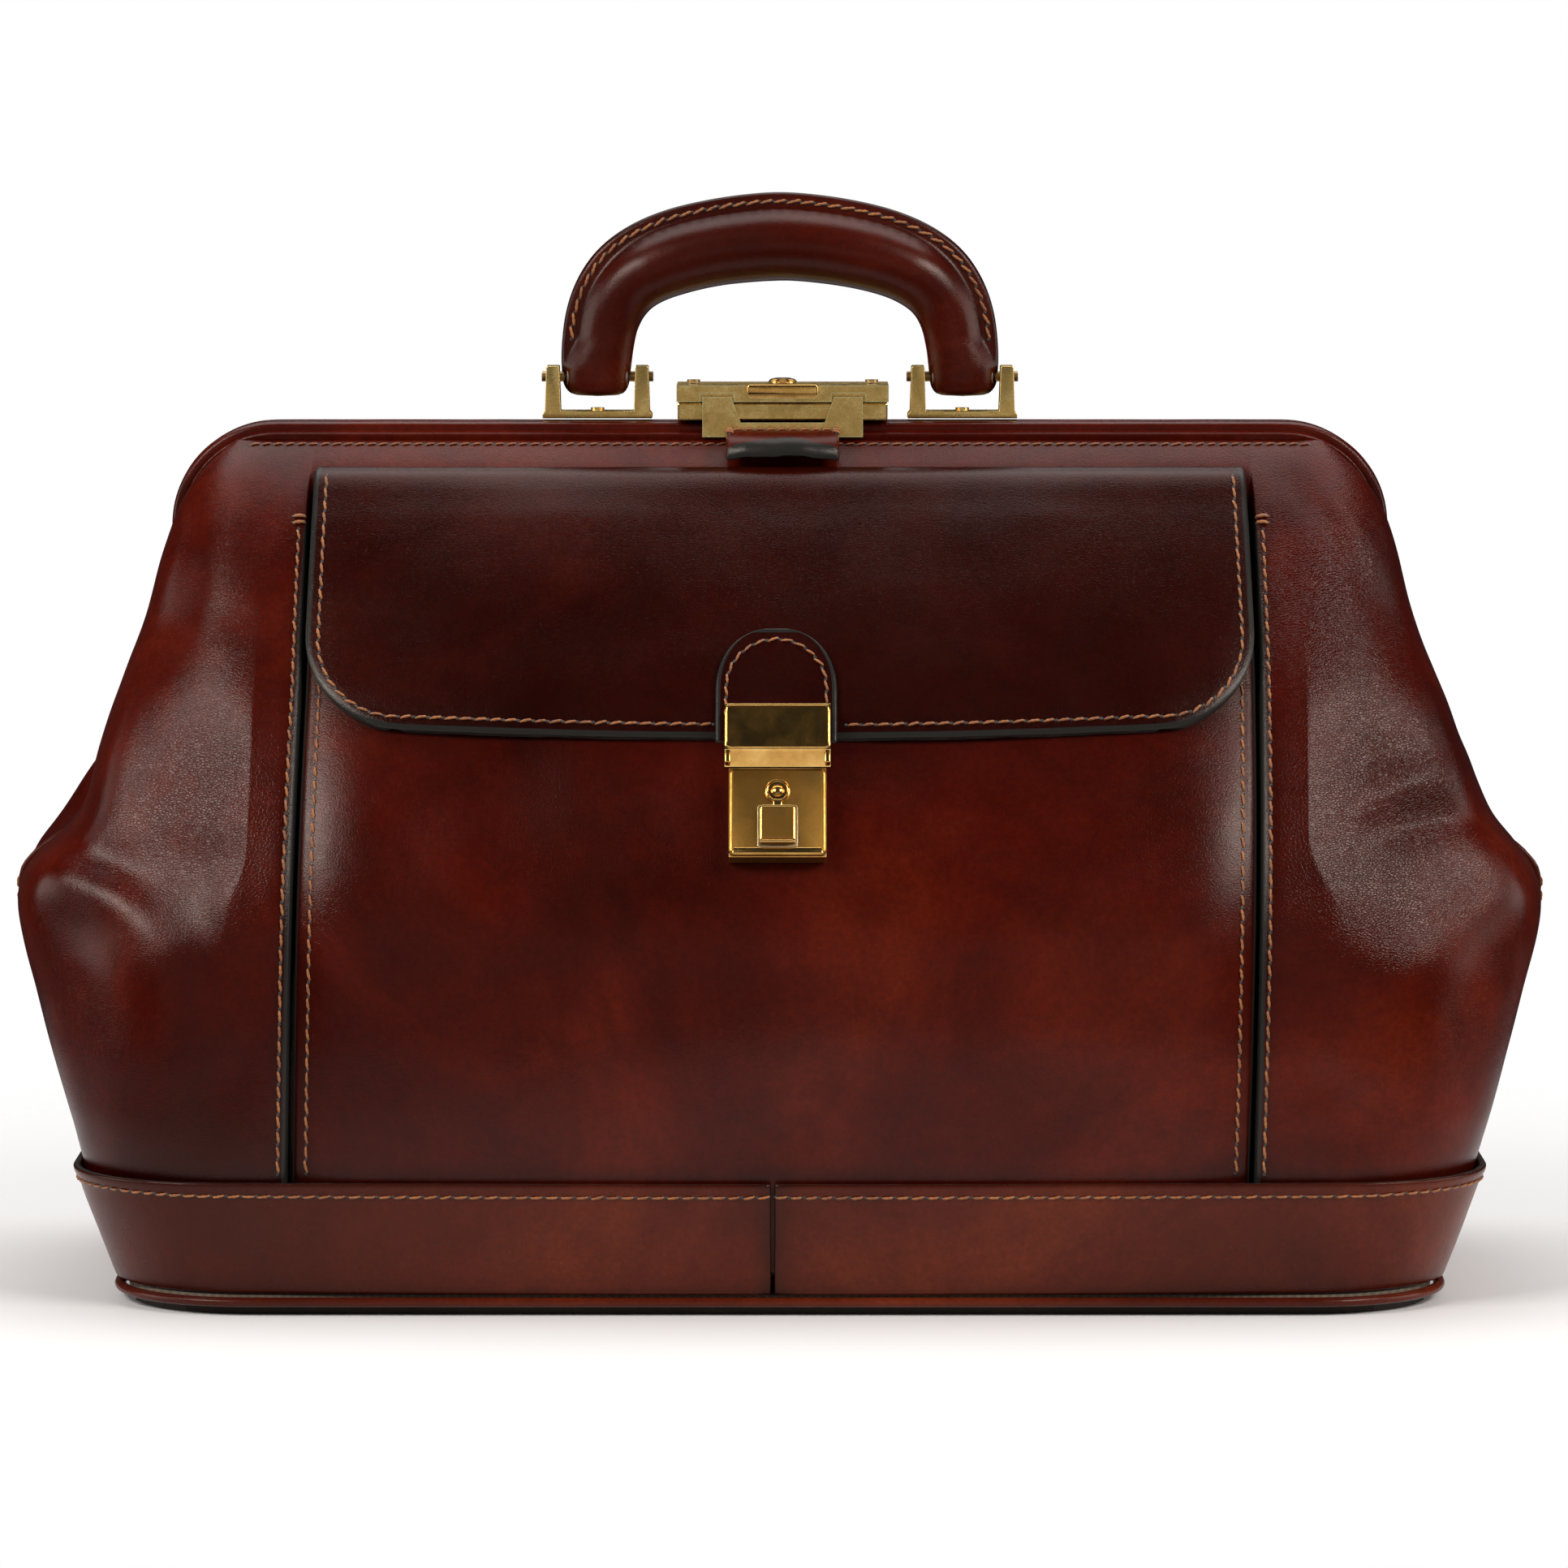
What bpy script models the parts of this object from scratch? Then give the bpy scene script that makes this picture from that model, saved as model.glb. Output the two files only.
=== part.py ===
"""Leather doctor bag: framed mouth, front flap pocket, tuck clasp, top lock and swinging handle.

Lengths are written in millimetres and scaled once by MM. +X is the bag's right as seen from
the front, -Y is the front and +Z is up. The origin is the centre of the sole, on the ground.
"""
import math

import bmesh
import bpy
import numpy as np
from mathutils import Matrix, Vector

for old in list(bpy.data.objects):
    bpy.data.objects.remove(old, do_unlink=True)

MM = 0.001

# Driving dimensions, in millimetres.
PROFILE_Z = [0.0, 38.0, 80.0, 105.0, 121.0, 140.0, 160.0, 180.0, 200.0, 220.0, 230.0, 238.0, 245.0]
HALF_DEPTH = [87.5, 94.3, 97.5, 97.0, 94.0, 87.0, 77.0, 65.5, 52.5, 37.5, 28.5, 19.5, 11.4]
WIDTH_Z = [0, 38, 56, 73, 87, 104, 114, 121, 127, 135, 148, 161, 175, 195, 212, 220, 228, 236, 245]
HALF_WIDTH = [187, 200.5, 206, 211, 215, 219.5, 221.5, 220, 215.5, 208, 200.5, 195.3, 190.3, 183.5,
              179, 176.6, 173.5, 168, 157]
FOLD_Z = [0, 116, 121, 127, 135, 148, 165, 174, 183, 245]
EDGE_Y = [12, 12, 12, 17, 22, 25, 25, 21, 17, 9.4]
FOLD_IN = [0, 0, 2, 8, 18, 30, 38, 26, 10, 0.2]
FOLD_Y = [3.2, 3.2, 3.2, 2.0, 1.0, 0.8, 0.8, 7.6, 9.3, 9.3]
CORNER_RADIUS = 42.0
PANEL_HALF = 136.2
POCKET_HALF = 135.6
POCKET_TOP = 222.0
LEATHER = 2.2
GAP = 0.35
CROWN = 5.0

HEM_Z = 244.8
SPLIT_Z = 172.0
PIVOT_Z = 175.0
FRAME_TOP = 249.5
FRAME_HALF = 175.0
FRAME_RADIUS = 28.0
BAR_INNER_Y = 0.4
BAR_OUTER_Y = 8.4

BAND_TOP = 38.0
BAND_BOTTOM = 5.9
SOLE_TOP = 2.0

LOCK_X = 0.8
HANDLE_X = 53.3
HANDLE_Y = 5.5
HANDLE_PIN_Z = 262.0
PIN_RADIUS = 1.5

FLAP_TOP = 237.6
FLAP_HINGE_Y = -24.1
FLAP_HINGE_Z = 236.3
FLAP_LOW = 163.8
FLAP_THICK = 2.6


def half_depth(z):
    return float(np.interp(z, PROFILE_Z, HALF_DEPTH))


def half_width(z):
    return float(np.interp(z, WIDTH_Z, HALF_WIDTH))


def lean(z):
    """How much longer a horizontal offset has to be than one square to the leaning wall."""
    slope = (half_depth(z - 4.0) - half_depth(z + 4.0)) / 8.0
    return math.sqrt(1.0 + slope ** 2)


def crown(x, z):
    """The front and rear walls bow out in the middle by this much, less towards the frame."""
    return CROWN * (x / 200.0) ** 2 * float(np.interp(z, [0, 200, 240], [1.0, 1.0, 0.0]))


def pocket_inset(z):
    return float(np.interp(z, [0, 195, 222, 234, 245], [10.0, 10.0, 7.6, 0.5, 0.0]))


def material(name, colour, metallic, rough):
    mat = bpy.data.materials.new(name)
    mat.use_nodes = True
    shader = mat.node_tree.nodes["Principled BSDF"]
    shader.inputs["Base Color"].default_value = (colour[0], colour[1], colour[2], 1.0)
    shader.inputs["Metallic"].default_value = metallic
    shader.inputs["Roughness"].default_value = rough
    mat.diffuse_color = (colour[0], colour[1], colour[2], 1.0)
    return mat


LOOKS = {
    "leather": ((0.045, 0.012, 0.006), 0.0, 0.3),
    "band": ((0.075, 0.02, 0.009), 0.0, 0.35),
    "edge": ((0.02, 0.02, 0.02), 0.0, 0.5),
    "lining": ((0.16, 0.13, 0.1), 0.0, 0.9),
    "board": ((0.2, 0.16, 0.11), 0.0, 0.9),
    "steel": ((0.35, 0.33, 0.3), 1.0, 0.35),
    "antique": ((0.42, 0.3, 0.12), 1.0, 0.4),
    "gold": ((0.6, 0.4, 0.14), 1.0, 0.2),
}


def make(name, verts, faces, look, smooth=0.0):
    """Build one named object from millimetre points, with outward faces and its own material."""
    mesh = bpy.data.meshes.new(name)
    mesh.from_pydata([(float(v[0]) * MM, float(v[1]) * MM, float(v[2]) * MM) for v in verts], [], faces)
    work = bmesh.new()
    work.from_mesh(mesh)
    bmesh.ops.recalc_face_normals(work, faces=work.faces)
    if work.calc_volume(signed=True) < 0:
        bmesh.ops.reverse_faces(work, faces=work.faces)
    work.to_mesh(mesh)
    work.free()
    obj = bpy.data.objects.new(name, mesh)
    bpy.context.scene.collection.objects.link(obj)
    colour, metallic, rough = LOOKS[look]
    mesh.materials.append(material(name + "_surface", colour, metallic, rough))
    if smooth:
        mesh.shade_smooth()
        mesh.set_sharp_from_angle(angle=math.radians(smooth))
    return obj


def bevel(obj, width, segments=2):
    """Round every hard edge by a modifier."""
    mod = obj.modifiers.new("rounding", "BEVEL")
    mod.width = width * MM
    mod.segments = segments
    mod.limit_method = "ANGLE"
    mod.angle_limit = math.radians(40)
    return obj


def set_origin(obj, point):
    """Move the object's origin to a point on its joint axis without moving its surface."""
    shift = Vector([c * MM for c in point])
    obj.data.transform(Matrix.Translation(-shift))
    obj.location = shift


def sheet(name, grid, thick, look, inward, smooth=50.0):
    """Close a grid of outer points into a sheet by offsetting it towards the inward vector field."""
    outer = np.array(grid, float)
    du = np.gradient(outer, axis=0)
    dv = np.gradient(outer, axis=1)
    normal = np.cross(du, dv)
    normal /= np.linalg.norm(normal, axis=2, keepdims=True)
    side = np.sign(np.sum(normal * np.array(inward(outer)), axis=2).sum())
    inner = outer + normal * side * thick
    rows, cols = outer.shape[:2]
    verts = np.concatenate([outer.reshape(-1, 3), inner.reshape(-1, 3)])
    half = rows * cols
    faces = []
    for i in range(rows - 1):
        for j in range(cols - 1):
            a = i * cols + j
            quad = (a, a + 1, a + cols + 1, a + cols)
            faces.append(quad)
            faces.append(tuple(half + k for k in reversed(quad)))
    ring = [(0, j) for j in range(cols)]
    ring += [(i, cols - 1) for i in range(1, rows)]
    ring += [(rows - 1, j) for j in range(cols - 2, -1, -1)]
    ring += [(i, 0) for i in range(rows - 2, 0, -1)]
    for k in range(len(ring)):
        a = ring[k][0] * cols + ring[k][1]
        nxt = ring[(k + 1) % len(ring)]
        b = nxt[0] * cols + nxt[1]
        faces.append((a, half + a, half + b, b))
    return make(name, verts, faces, look, smooth)


def to_centre(points):
    return -points * np.array([1.0, 1.0, 0.0])


def rearward(points):
    return np.zeros_like(points) + np.array([0.0, 1.0, 0.0])


def forward(points):
    return np.zeros_like(points) + np.array([0.0, -1.0, 0.0])


def prism(name, outline, lo, hi, axis, look, smooth=0.0):
    """Extrude a closed outline along X, Y or Z between two heights."""
    def place(a, b, c):
        if axis == "X":
            return (c, a, b)
        if axis == "Y":
            return (a, c, b)
        return (a, b, c)
    count = len(outline)
    verts = [place(a, b, lo) for a, b in outline] + [place(a, b, hi) for a, b in outline]
    faces = [tuple(range(count)), tuple(range(2 * count - 1, count - 1, -1))]
    for k in range(count):
        nxt = (k + 1) % count
        faces.append((k, nxt, count + nxt, count + k))
    return make(name, verts, faces, look, smooth)


def block(name, lo, hi, look):
    outline = [(lo[0], lo[1]), (hi[0], lo[1]), (hi[0], hi[1]), (lo[0], hi[1])]
    return prism(name, outline, lo[2], hi[2], "Z", look)


def circle(radius, count, a=0.0, b=0.0):
    return [(a + radius * math.cos(2 * math.pi * k / count),
             b + radius * math.sin(2 * math.pi * k / count)) for k in range(count)]


def rounded(half_a, half_b, radius, steps):
    """Outline of a rounded rectangle, starting on the +a side and running counter-clockwise."""
    points = []
    for quarter, (sa, sb) in enumerate([(1, 1), (-1, 1), (-1, -1), (1, -1)]):
        for k in range(steps + 1):
            turn = math.radians(90 * quarter + 90 * k / steps)
            points.append((sa * (half_a - radius) + radius * math.cos(turn),
                           sb * (half_b - radius) + radius * math.sin(turn)))
    return points


def boolean(obj, cutter, operation):
    """Join or cut with another object, which then only guides and isn't part of the bag."""
    mod = obj.modifiers.new(operation.lower(), "BOOLEAN")
    mod.operation = operation
    mod.solver = "EXACT"
    mod.object = cutter
    cutter.hide_render = True
    cutter.display_type = "WIRE"
    return obj


def wall_outline(z, inset=0.0, start=PANEL_HALF + 0.5):
    """Half of one shell's plan outline at a height: front run, corner, side run and side fold."""
    depth = half_depth(z) - inset
    width = half_width(z) - inset
    edge = float(np.interp(z, FOLD_Z, EDGE_Y)) + inset * 0.5
    fold_y = float(np.interp(z, FOLD_Z, FOLD_Y)) + inset * 0.3
    fold_x = width - float(np.interp(z, FOLD_Z, FOLD_IN))
    if z > 183:
        fold_x = min(width, 172.0 - inset) if z < 226 else width
    room = depth - crown(width, z) - edge
    radius = max(0.4, min(CORNER_RADIUS, 0.8 * room, width - start - 2.0))
    points = []
    for k in range(2):
        x = start + (width - radius - start) * k / 2
        points.append((x, depth - crown(x, z)))
    top = depth - crown(width - radius, z)
    for k in range(6):
        turn = math.radians(90 * k / 5)
        points.append((width - radius + radius * math.sin(turn), top - radius + radius * math.cos(turn)))
    points.append((width, edge))
    for k in range(1, 3):
        points.append((width + (fold_x - width) * k / 2, edge + (fold_y - edge) * k / 2))
    return points


FULL_ROWS = [6.2, 38, 80, 104, 114, 121, 127, 135, 148, 161, 172, 182, 200, 220, 236, HEM_Z]
LOWER_ROWS = [z for z in FULL_ROWS if z <= SPLIT_Z]
UPPER_ROWS = [172.6] + [z for z in FULL_ROWS if z > SPLIT_Z + 1]


def side_panel(name, sign_x, sign_y, rows):
    grid = []
    for z in rows:
        grid.append([(sign_x * x, sign_y * y, z) for x, y in wall_outline(z)])
    return sheet(name, grid, LEATHER, "leather", to_centre)


def flat_panel(name, half, rows, inset, sign_y, look="leather", thick=LEATHER, cols=5):
    grid = []
    for z in rows:
        line = []
        for x in np.linspace(-half, half, cols):
            line.append((x, sign_y * (half_depth(z) - inset(z) - crown(x, z)), z))
        grid.append(line)
    return sheet(name, grid, thick, look, rearward if sign_y < 0 else forward)


def full_line(z, inset, sign_y, middle):
    """One whole shell's plan outline, from the left fold across the front or rear to the right."""
    side = wall_outline(z, inset, PANEL_HALF + 6.0)
    centre = []
    for x in np.linspace(-PANEL_HALF - 1.0, PANEL_HALF + 1.0, 5):
        centre.append((x, half_depth(z) - inset - middle(z) - crown(x, z)))
    line = [(-x, y) for x, y in reversed(side)] + centre + side
    return [(x, sign_y * y, z) for x, y in line]


def build_base():
    prism("base_sole", rounded(186.0, 86.5, 34.0, 6), 0.0, SOLE_TOP, "Z", "edge")
    prism("base_board", rounded(187.4, 88.0, 36.0, 6), 2.4, 5.6, "Z", "board")
    path = rounded(190.0, 90.6, 38.0, 8)
    count = len(path)
    verts = []
    for k, (x, y) in enumerate(path):
        ahead = path[(k + 1) % count]
        behind = path[k - 1]
        run = Vector((ahead[0] - behind[0], ahead[1] - behind[1], 0)).normalized()
        out = Vector((run.y, -run.x, 0))
        for a, b in circle(1.6, 8):
            verts.append((x + out.x * a, y + out.y * a, 3.95 + b))
    faces = []
    for k in range(count):
        for j in range(8):
            a = k * 8 + j
            b = k * 8 + (j + 1) % 8
            c = ((k + 1) % count) * 8 + (j + 1) % 8
            d = ((k + 1) % count) * 8 + j
            faces.append((a, b, c, d))
    make("base_piping", verts, faces, "leather", 60)
    prism("lining_base", rounded(181.0, 72.0, 34.0, 4), 6.0, 6.8, "Z", "lining")


def build_band(name, sign):
    """Half of the base band, from the centre front seam round one side to the centre rear seam."""
    grid = []
    grow = GAP + LEATHER
    for z in (BAND_BOTTOM, 16.0, 27.0, BAND_TOP):
        half = [(x, y) for x, y in wall_outline(z, -grow)]
        half = [(x, y) for x, y in half if y > 4.0]
        run = []
        for x in (0.4, 70.0):
            run.append((x, half_depth(z) + grow - crown(x, z)))
        quarter = run + half
        line = [(x, -y) for x, y in quarter] + [(x, y) for x, y in reversed(quarter)]
        grid.append([(sign * x, y, z) for x, y in line])
    sheet(name, grid, LEATHER, "band", to_centre)


def build_walls():
    flat_panel("front_centre_panel", PANEL_HALF, FULL_ROWS, pocket_inset, -1)
    side_panel("front_side_left", -1, -1, FULL_ROWS)
    side_panel("front_side_right", 1, -1, FULL_ROWS)
    flat_panel("rear_centre_panel", PANEL_HALF, LOWER_ROWS, lambda z: 0.0, 1)
    side_panel("rear_side_left", -1, 1, LOWER_ROWS)
    side_panel("rear_side_right", 1, 1, LOWER_ROWS)
    grid = [full_line(z, 0.0, 1, lambda z: 0.0) for z in UPPER_ROWS]
    sheet("rear_upper_panel", grid, LEATHER, "leather", to_centre)


def build_linings():
    def front(z):
        return pocket_inset(z) + (LEATHER + GAP) * lean(z) + 0.3

    def rear(z):
        return (LEATHER + GAP) * lean(z) + 0.3

    flat_panel("lining_front", 133.0, [9.0] + FULL_ROWS[1:-1], front, -1, "lining", 0.8, 3)
    flat_panel("lining_rear_lower", 133.0, [9.0] + LOWER_ROWS[1:], rear, 1, "lining", 0.8, 3)
    flat_panel("lining_rear_upper", 133.0, UPPER_ROWS[:-1], rear, 1, "lining", 0.8, 3)


def build_side_welts():
    """Stitched leather strip over the centre seam of each side, from the band to the shoulder."""
    for name, sign in (("side_welt_left", -1), ("side_welt_right", 1)):
        grid = []
        for z in (39.0, 62, 87, 104, 114, 120.0):
            grid.append([(sign * (half_width(z) + GAP + 1.6), y, z) for y in (-8.0, 0.0, 8.0)])
        sheet(name, grid, 1.6, "band", to_centre)


def build_pocket():
    rows = [z for z in FULL_ROWS if z < POCKET_TOP - 1] + [POCKET_TOP]
    flat_panel("pocket_front", POCKET_HALF, rows, lambda z: 0.0, -1)
    for name, sign in (("pocket_side_left", -1), ("pocket_side_right", 1)):
        grid = []
        for z in rows:
            front = half_depth(z) - crown(138.0, z) - LEATHER * lean(z) - 0.7
            back = half_depth(z) - crown(138.0, z) - pocket_inset(z) - LEATHER * lean(z)
            grid.append([(sign * (PANEL_HALF + 0.4), -y, z) for y in (front, back)])
        sheet(name, grid, 1.6, "leather", lambda p: p * np.array([1.0, 0.0, 0.0]))


def flap_half(z):
    """Half width of the flap at a height, with large rounded lower corners."""
    if z > FLAP_LOW + 26.0:
        return float(np.interp(z, [FLAP_LOW + 26.0, FLAP_TOP], [135.6, 134.6]))
    drop = (FLAP_LOW + 26.0 - z) / 26.0
    return 135.6 - 27.0 * (1.0 - math.sqrt(max(0.0, 1.0 - drop ** 2)))


FLAP_ROWS = [FLAP_LOW, 165.5, 168.5, 172, 178, 186, 200, 214, 226, 233, FLAP_TOP]


def build_flap():
    grid = []
    for z in FLAP_ROWS:
        line = []
        for x in np.linspace(-1.0, 1.0, 13):
            across = x * flap_half(z)
            line.append((across, crown(across, z) - half_depth(z) - (0.5 + FLAP_THICK) * lean(z), z))
        grid.append(line)
    flap = sheet("pocket_flap", grid, FLAP_THICK, "leather", rearward)
    set_origin(flap, (0, FLAP_HINGE_Y, FLAP_HINGE_Z))
    grid = []
    for z in (FLAP_LOW + 0.3, 168.5, 172, 178, 184, 189, 192.5, 194.5):
        drop = max(0.0, (z - 180.0) / 15.0)
        half = 17.0 * math.sqrt(max(0.02, 1.0 - drop ** 2))
        line = []
        for x in np.linspace(-half, half, 5):
            line.append((x, -half_depth(z) - (0.5 + FLAP_THICK + GAP + 1.6) * lean(z), z))
        grid.append(line)
    patch = sheet("flap_patch", grid, 1.6, "leather", rearward)
    set_origin(patch, (0, FLAP_HINGE_Y, FLAP_HINGE_Z))


CLASP_TILT = math.atan(0.5)
CLASP_BASE = Vector((-0.6, -91.5, 128.8))
CLASP_UP = Vector((0, math.sin(CLASP_TILT), math.cos(CLASP_TILT)))
CLASP_OUT = Vector((0, -math.cos(CLASP_TILT), math.sin(CLASP_TILT)))


def on_clasp(points):
    """Turn clasp coordinates (across, up the face, out of the face) into bag coordinates."""
    return [CLASP_BASE + Vector((u, 0, 0)) + CLASP_UP * v + CLASP_OUT * n for u, v, n in points]


def clasp_prism(name, outline, lo, hi, along, look, smooth=0.0):
    """Extrude an outline in the clasp's own frame, across it or out of its face."""
    if along == "across":
        verts = [(lo, v, n) for v, n in outline] + [(hi, v, n) for v, n in outline]
    else:
        verts = [(u, v, lo) for u, v in outline] + [(u, v, hi) for u, v in outline]
    count = len(outline)
    faces = [tuple(range(count)), tuple(range(2 * count - 1, count - 1, -1))]
    for k in range(count):
        nxt = (k + 1) % count
        faces.append((k, nxt, count + nxt, count + k))
    return make(name, on_clasp(verts), faces, look, smooth)


def build_clasp():
    body = [(0.0, 1.6), (31.0, 1.6), (31.0, 5.6), (26.0, 5.6), (26.0, 8.2), (2.2, 8.2), (0.0, 6.0)]
    lock = clasp_prism("clasp_lock_body", body, -13.7, 13.7, "across", "gold")
    slot = clasp_prism("cut_tongue_slot", [(-5.4, 26.9), (5.4, 26.9), (5.4, 30.0), (-5.4, 30.0)],
                       3.0, 7.0, "out", "gold")
    boolean(lock, slot, "DIFFERENCE")
    guide = clasp_prism("cut_slider_guide", [(-2.6, 2.9), (2.6, 2.9), (2.6, 13.3), (-2.6, 13.3)],
                        5.4, 9.0, "out", "gold")
    boolean(lock, guide, "DIFFERENCE")
    barrel_hole = clasp_prism("cut_barrel_hole", circle(2.86, 32, 0.0, 18.9), 4.4, 9.0, "out", "gold")
    boolean(lock, barrel_hole, "DIFFERENCE")

    barrel = clasp_prism("clasp_key_barrel", circle(2.78, 32, 0.0, 18.9), 4.8, 8.9, "out", "gold", 40)
    keyway = clasp_prism("cut_keyway", [(-0.5, 17.2), (0.5, 17.2), (0.5, 20.6), (-0.5, 20.6)],
                         7.2, 9.4, "out", "gold")
    boolean(barrel, keyway, "DIFFERENCE")
    set_origin(barrel, on_clasp([(0.0, 18.9, 8.0)])[0])

    slider = clasp_prism("clasp_slider", [(7.3, 5.9), (12.9, 5.9), (12.9, 8.6), (13.9, 8.6),
                                          (13.9, 10.6), (4.1, 10.6), (3.1, 9.6), (3.1, 8.6), (7.3, 8.6)],
                         -2.2, 2.2, "across", "gold")
    plate = clasp_prism("join_slider_plate", [(3.1, 8.6), (13.9, 8.6), (13.9, 10.6), (4.1, 10.6),
                                              (3.1, 9.6)], -4.9, 4.9, "across", "gold")
    boolean(slider, plate, "UNION")
    set_origin(slider, on_clasp([(0.0, 8.3, 9.0)])[0])

    cap_shape = [(26.3, 6.1), (26.3, 8.4), (29.8, 11.6), (30.2, 12.0), (43.8, 12.0), (44.3, 11.5),
                 (44.3, 8.3), (34.9, 8.3), (34.9, 6.1)]
    cap = clasp_prism("clasp_cap", cap_shape, -14.9, 14.9, "across", "gold")
    set_origin(cap, (0, FLAP_HINGE_Y, FLAP_HINGE_Z))
    tongue = clasp_prism("clasp_tongue", [(-4.6, 27.6), (4.6, 27.6), (4.6, 29.4), (-4.6, 29.4)],
                         3.4, 5.8, "out", "steel")
    set_origin(tongue, (0, FLAP_HINGE_Y, FLAP_HINGE_Z))
    clasp_prism("clasp_back_plate", rounded_at(11.0, 11.0, 2.0, 0.0, 15.0), -4.6, -3.8, "out", "steel")


def rounded_at(half_a, half_b, radius, a, b):
    return [(p + a, q + b) for p, q in rounded(half_a, half_b, radius, 3)]


def frame_path(lowest):
    """Centre line of a frame bar: up one arm, round the corners and down the other arm."""
    top = FRAME_TOP - 2.2
    points = []
    for z in lowest:
        points.append((-FRAME_HALF, z, -1.0, 0.0))
    for k in range(7):
        turn = math.radians(90 * k / 6)
        points.append((-FRAME_HALF + FRAME_RADIUS * (1 - math.cos(turn)),
                       top - FRAME_RADIUS * (1 - math.sin(turn)), -math.cos(turn), math.sin(turn)))
    points.append((-60.0, top, 0.0, 1.0))
    mirrored = [(-x, z, -nx, nz) for x, z, nx, nz in reversed(points)]
    return points + mirrored


def frame_core(name, side, ear_shift):
    """Flat steel bar bent into a U, ending in an offset ear on each hinge pin."""
    lows = [PIVOT_Z - 6.0, PIVOT_Z - 3.5, PIVOT_Z + 3.5, PIVOT_Z + 6.5, PIVOT_Z + 9.0]
    path = frame_path(lows)
    verts = []
    for x, z, nx, nz in path:
        near = BAR_INNER_Y + 1.0
        far = BAR_OUTER_Y - 1.0
        shift = 0.0
        half = 1.2
        if z < PIVOT_Z + 8.0 and abs(x) > FRAME_HALF - 1.0:
            shift = ear_shift
            half = 0.8
            near = -6.0 if z < PIVOT_Z + 5.0 else BAR_INNER_Y + 1.0
            if z < PIVOT_Z - 5.0:
                near = -3.0
        section = [(-half, near), (half, near), (half, far), (-half, far)]
        if z < PIVOT_Z - 5.0:
            section = [(-half, near), (half, near), (half, 4.0), (-half, 4.0)]
        for a, y in section:
            verts.append((x + nx * (a + shift), side * y, z + nz * (a + shift)))
    count = len(path)
    faces = [(0, 1, 2, 3), tuple((count - 1) * 4 + j for j in (3, 2, 1, 0))]
    for k in range(count - 1):
        for j in range(4):
            a = k * 4 + j
            b = k * 4 + (j + 1) % 4
            faces.append((a, b, b + 4, a + 4))
    return make(name, verts, faces, "steel")


def frame_wrap(name, side):
    """Leather tube rolled round the bar, open at both lower ends."""
    path = frame_path([PIVOT_Z + 10.0, PIVOT_Z + 24.0])
    middle = 0.5 * (BAR_INNER_Y + BAR_OUTER_Y)
    rings = []
    for half_a, half_y, radius in ((2.2, 4.0, 1.9), (1.5, 3.3, 0.3)):
        ring = []
        for a, b in rounded(half_a, half_y, radius, 2 if radius > 1 else 1):
            ring.append((a, b))
        rings.append(ring)
    verts = []
    offsets = []
    for ring in rings:
        offsets.append(len(verts))
        for x, z, nx, nz in path:
            for a, b in ring:
                verts.append((x + nx * a, side * (middle + b), z + nz * a))
    faces = []
    count = len(path)
    for offset, ring in zip(offsets, rings):
        size = len(ring)
        for k in range(count - 1):
            for j in range(size):
                a = offset + k * size + j
                b = offset + k * size + (j + 1) % size
                faces.append((a, b, b + size, a + size))
    outer, inner = rings
    for k in (0, count - 1):
        base_out = offsets[0] + k * len(outer)
        base_in = offsets[1] + k * len(inner)
        step = len(outer) // 4
        inner_step = len(inner) // 4
        for quarter in range(4):
            arc = [base_out + quarter * step + j for j in range(step)]
            nxt = base_out + ((quarter + 1) % 4) * step
            near = [base_in + quarter * inner_step + j for j in range(inner_step)]
            near_next = base_in + ((quarter + 1) % 4) * inner_step
            face = arc + [nxt, near_next] + list(reversed(near))
            faces.append(tuple(face))
    return make(name, verts, faces, "leather", 50)


def pin_along_x(name, x0, x1, radius, y, z, look="antique", count=32):
    return prism(name, circle(radius, count, y, z), x0, x1, "X", look, 40)


def build_frames():
    front = frame_core("front_frame", -1, 1.95)
    rear = frame_core("rear_frame", 1, -0.35)
    for obj, sides in ((front, "front"), (rear, "rear")):
        hole = pin_along_x("cut_ear_holes_" + sides, -182, 182, 2.08, 0.0, PIVOT_Z, "steel")
        boolean(obj, hole, "DIFFERENCE")
    frame_wrap("front_bar_wrap", -1)
    wrap = frame_wrap("rear_bar_wrap", 1)
    set_origin(rear, (0, 0, PIVOT_Z))
    set_origin(wrap, (0, 0, PIVOT_Z))
    for name, sign in (("hinge_pin_left", -1), ("hinge_pin_right", 1)):
        a, b = sorted((sign * 172.4, sign * 179.0))
        pin_along_x(name, a, b, 2.0, 0.0, PIVOT_Z, "steel")


def build_catch():
    arms = [(-23.3, 245.2), (23.3, 245.2), (23.3, 256.9), (14.9, 256.9), (12.2, 249.4),
            (-12.2, 249.4), (-14.9, 256.9), (-23.3, 256.9)]
    plate = prism("catch_plate", [(x + LOCK_X, z) for x, z in arms], -13.4, -11.9, "Y", "antique")
    for k, sign in enumerate((-1, 1)):
        a, b = sorted((LOCK_X + sign * 15.6, LOCK_X + sign * 22.6))
        lip = block("join_catch_lip_%d" % k, (a, -12.4, 255.7), (b, -9.9, 256.9), "antique")
        boolean(plate, lip, "UNION")
    for name, sign in (("catch_stud_left", -1), ("catch_stud_right", 1)):
        prism(name, circle(1.8, 16, LOCK_X + sign * 18.5, 247.4), -11.6, -8.7, "Y", "antique", 40)
    tab = [(-13.8, 243.3), (-13.8, 247.3), (-19.0, 247.4), (-24.0, 246.2), (-27.4, 243.9),
           (-27.6, 240.6), (-26.0, 240.2), (-22.0, 242.2), (-18.0, 243.3)]
    prism("pull_tab", tab, LOCK_X - 16.4, LOCK_X + 16.4, "X", "leather")


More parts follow.
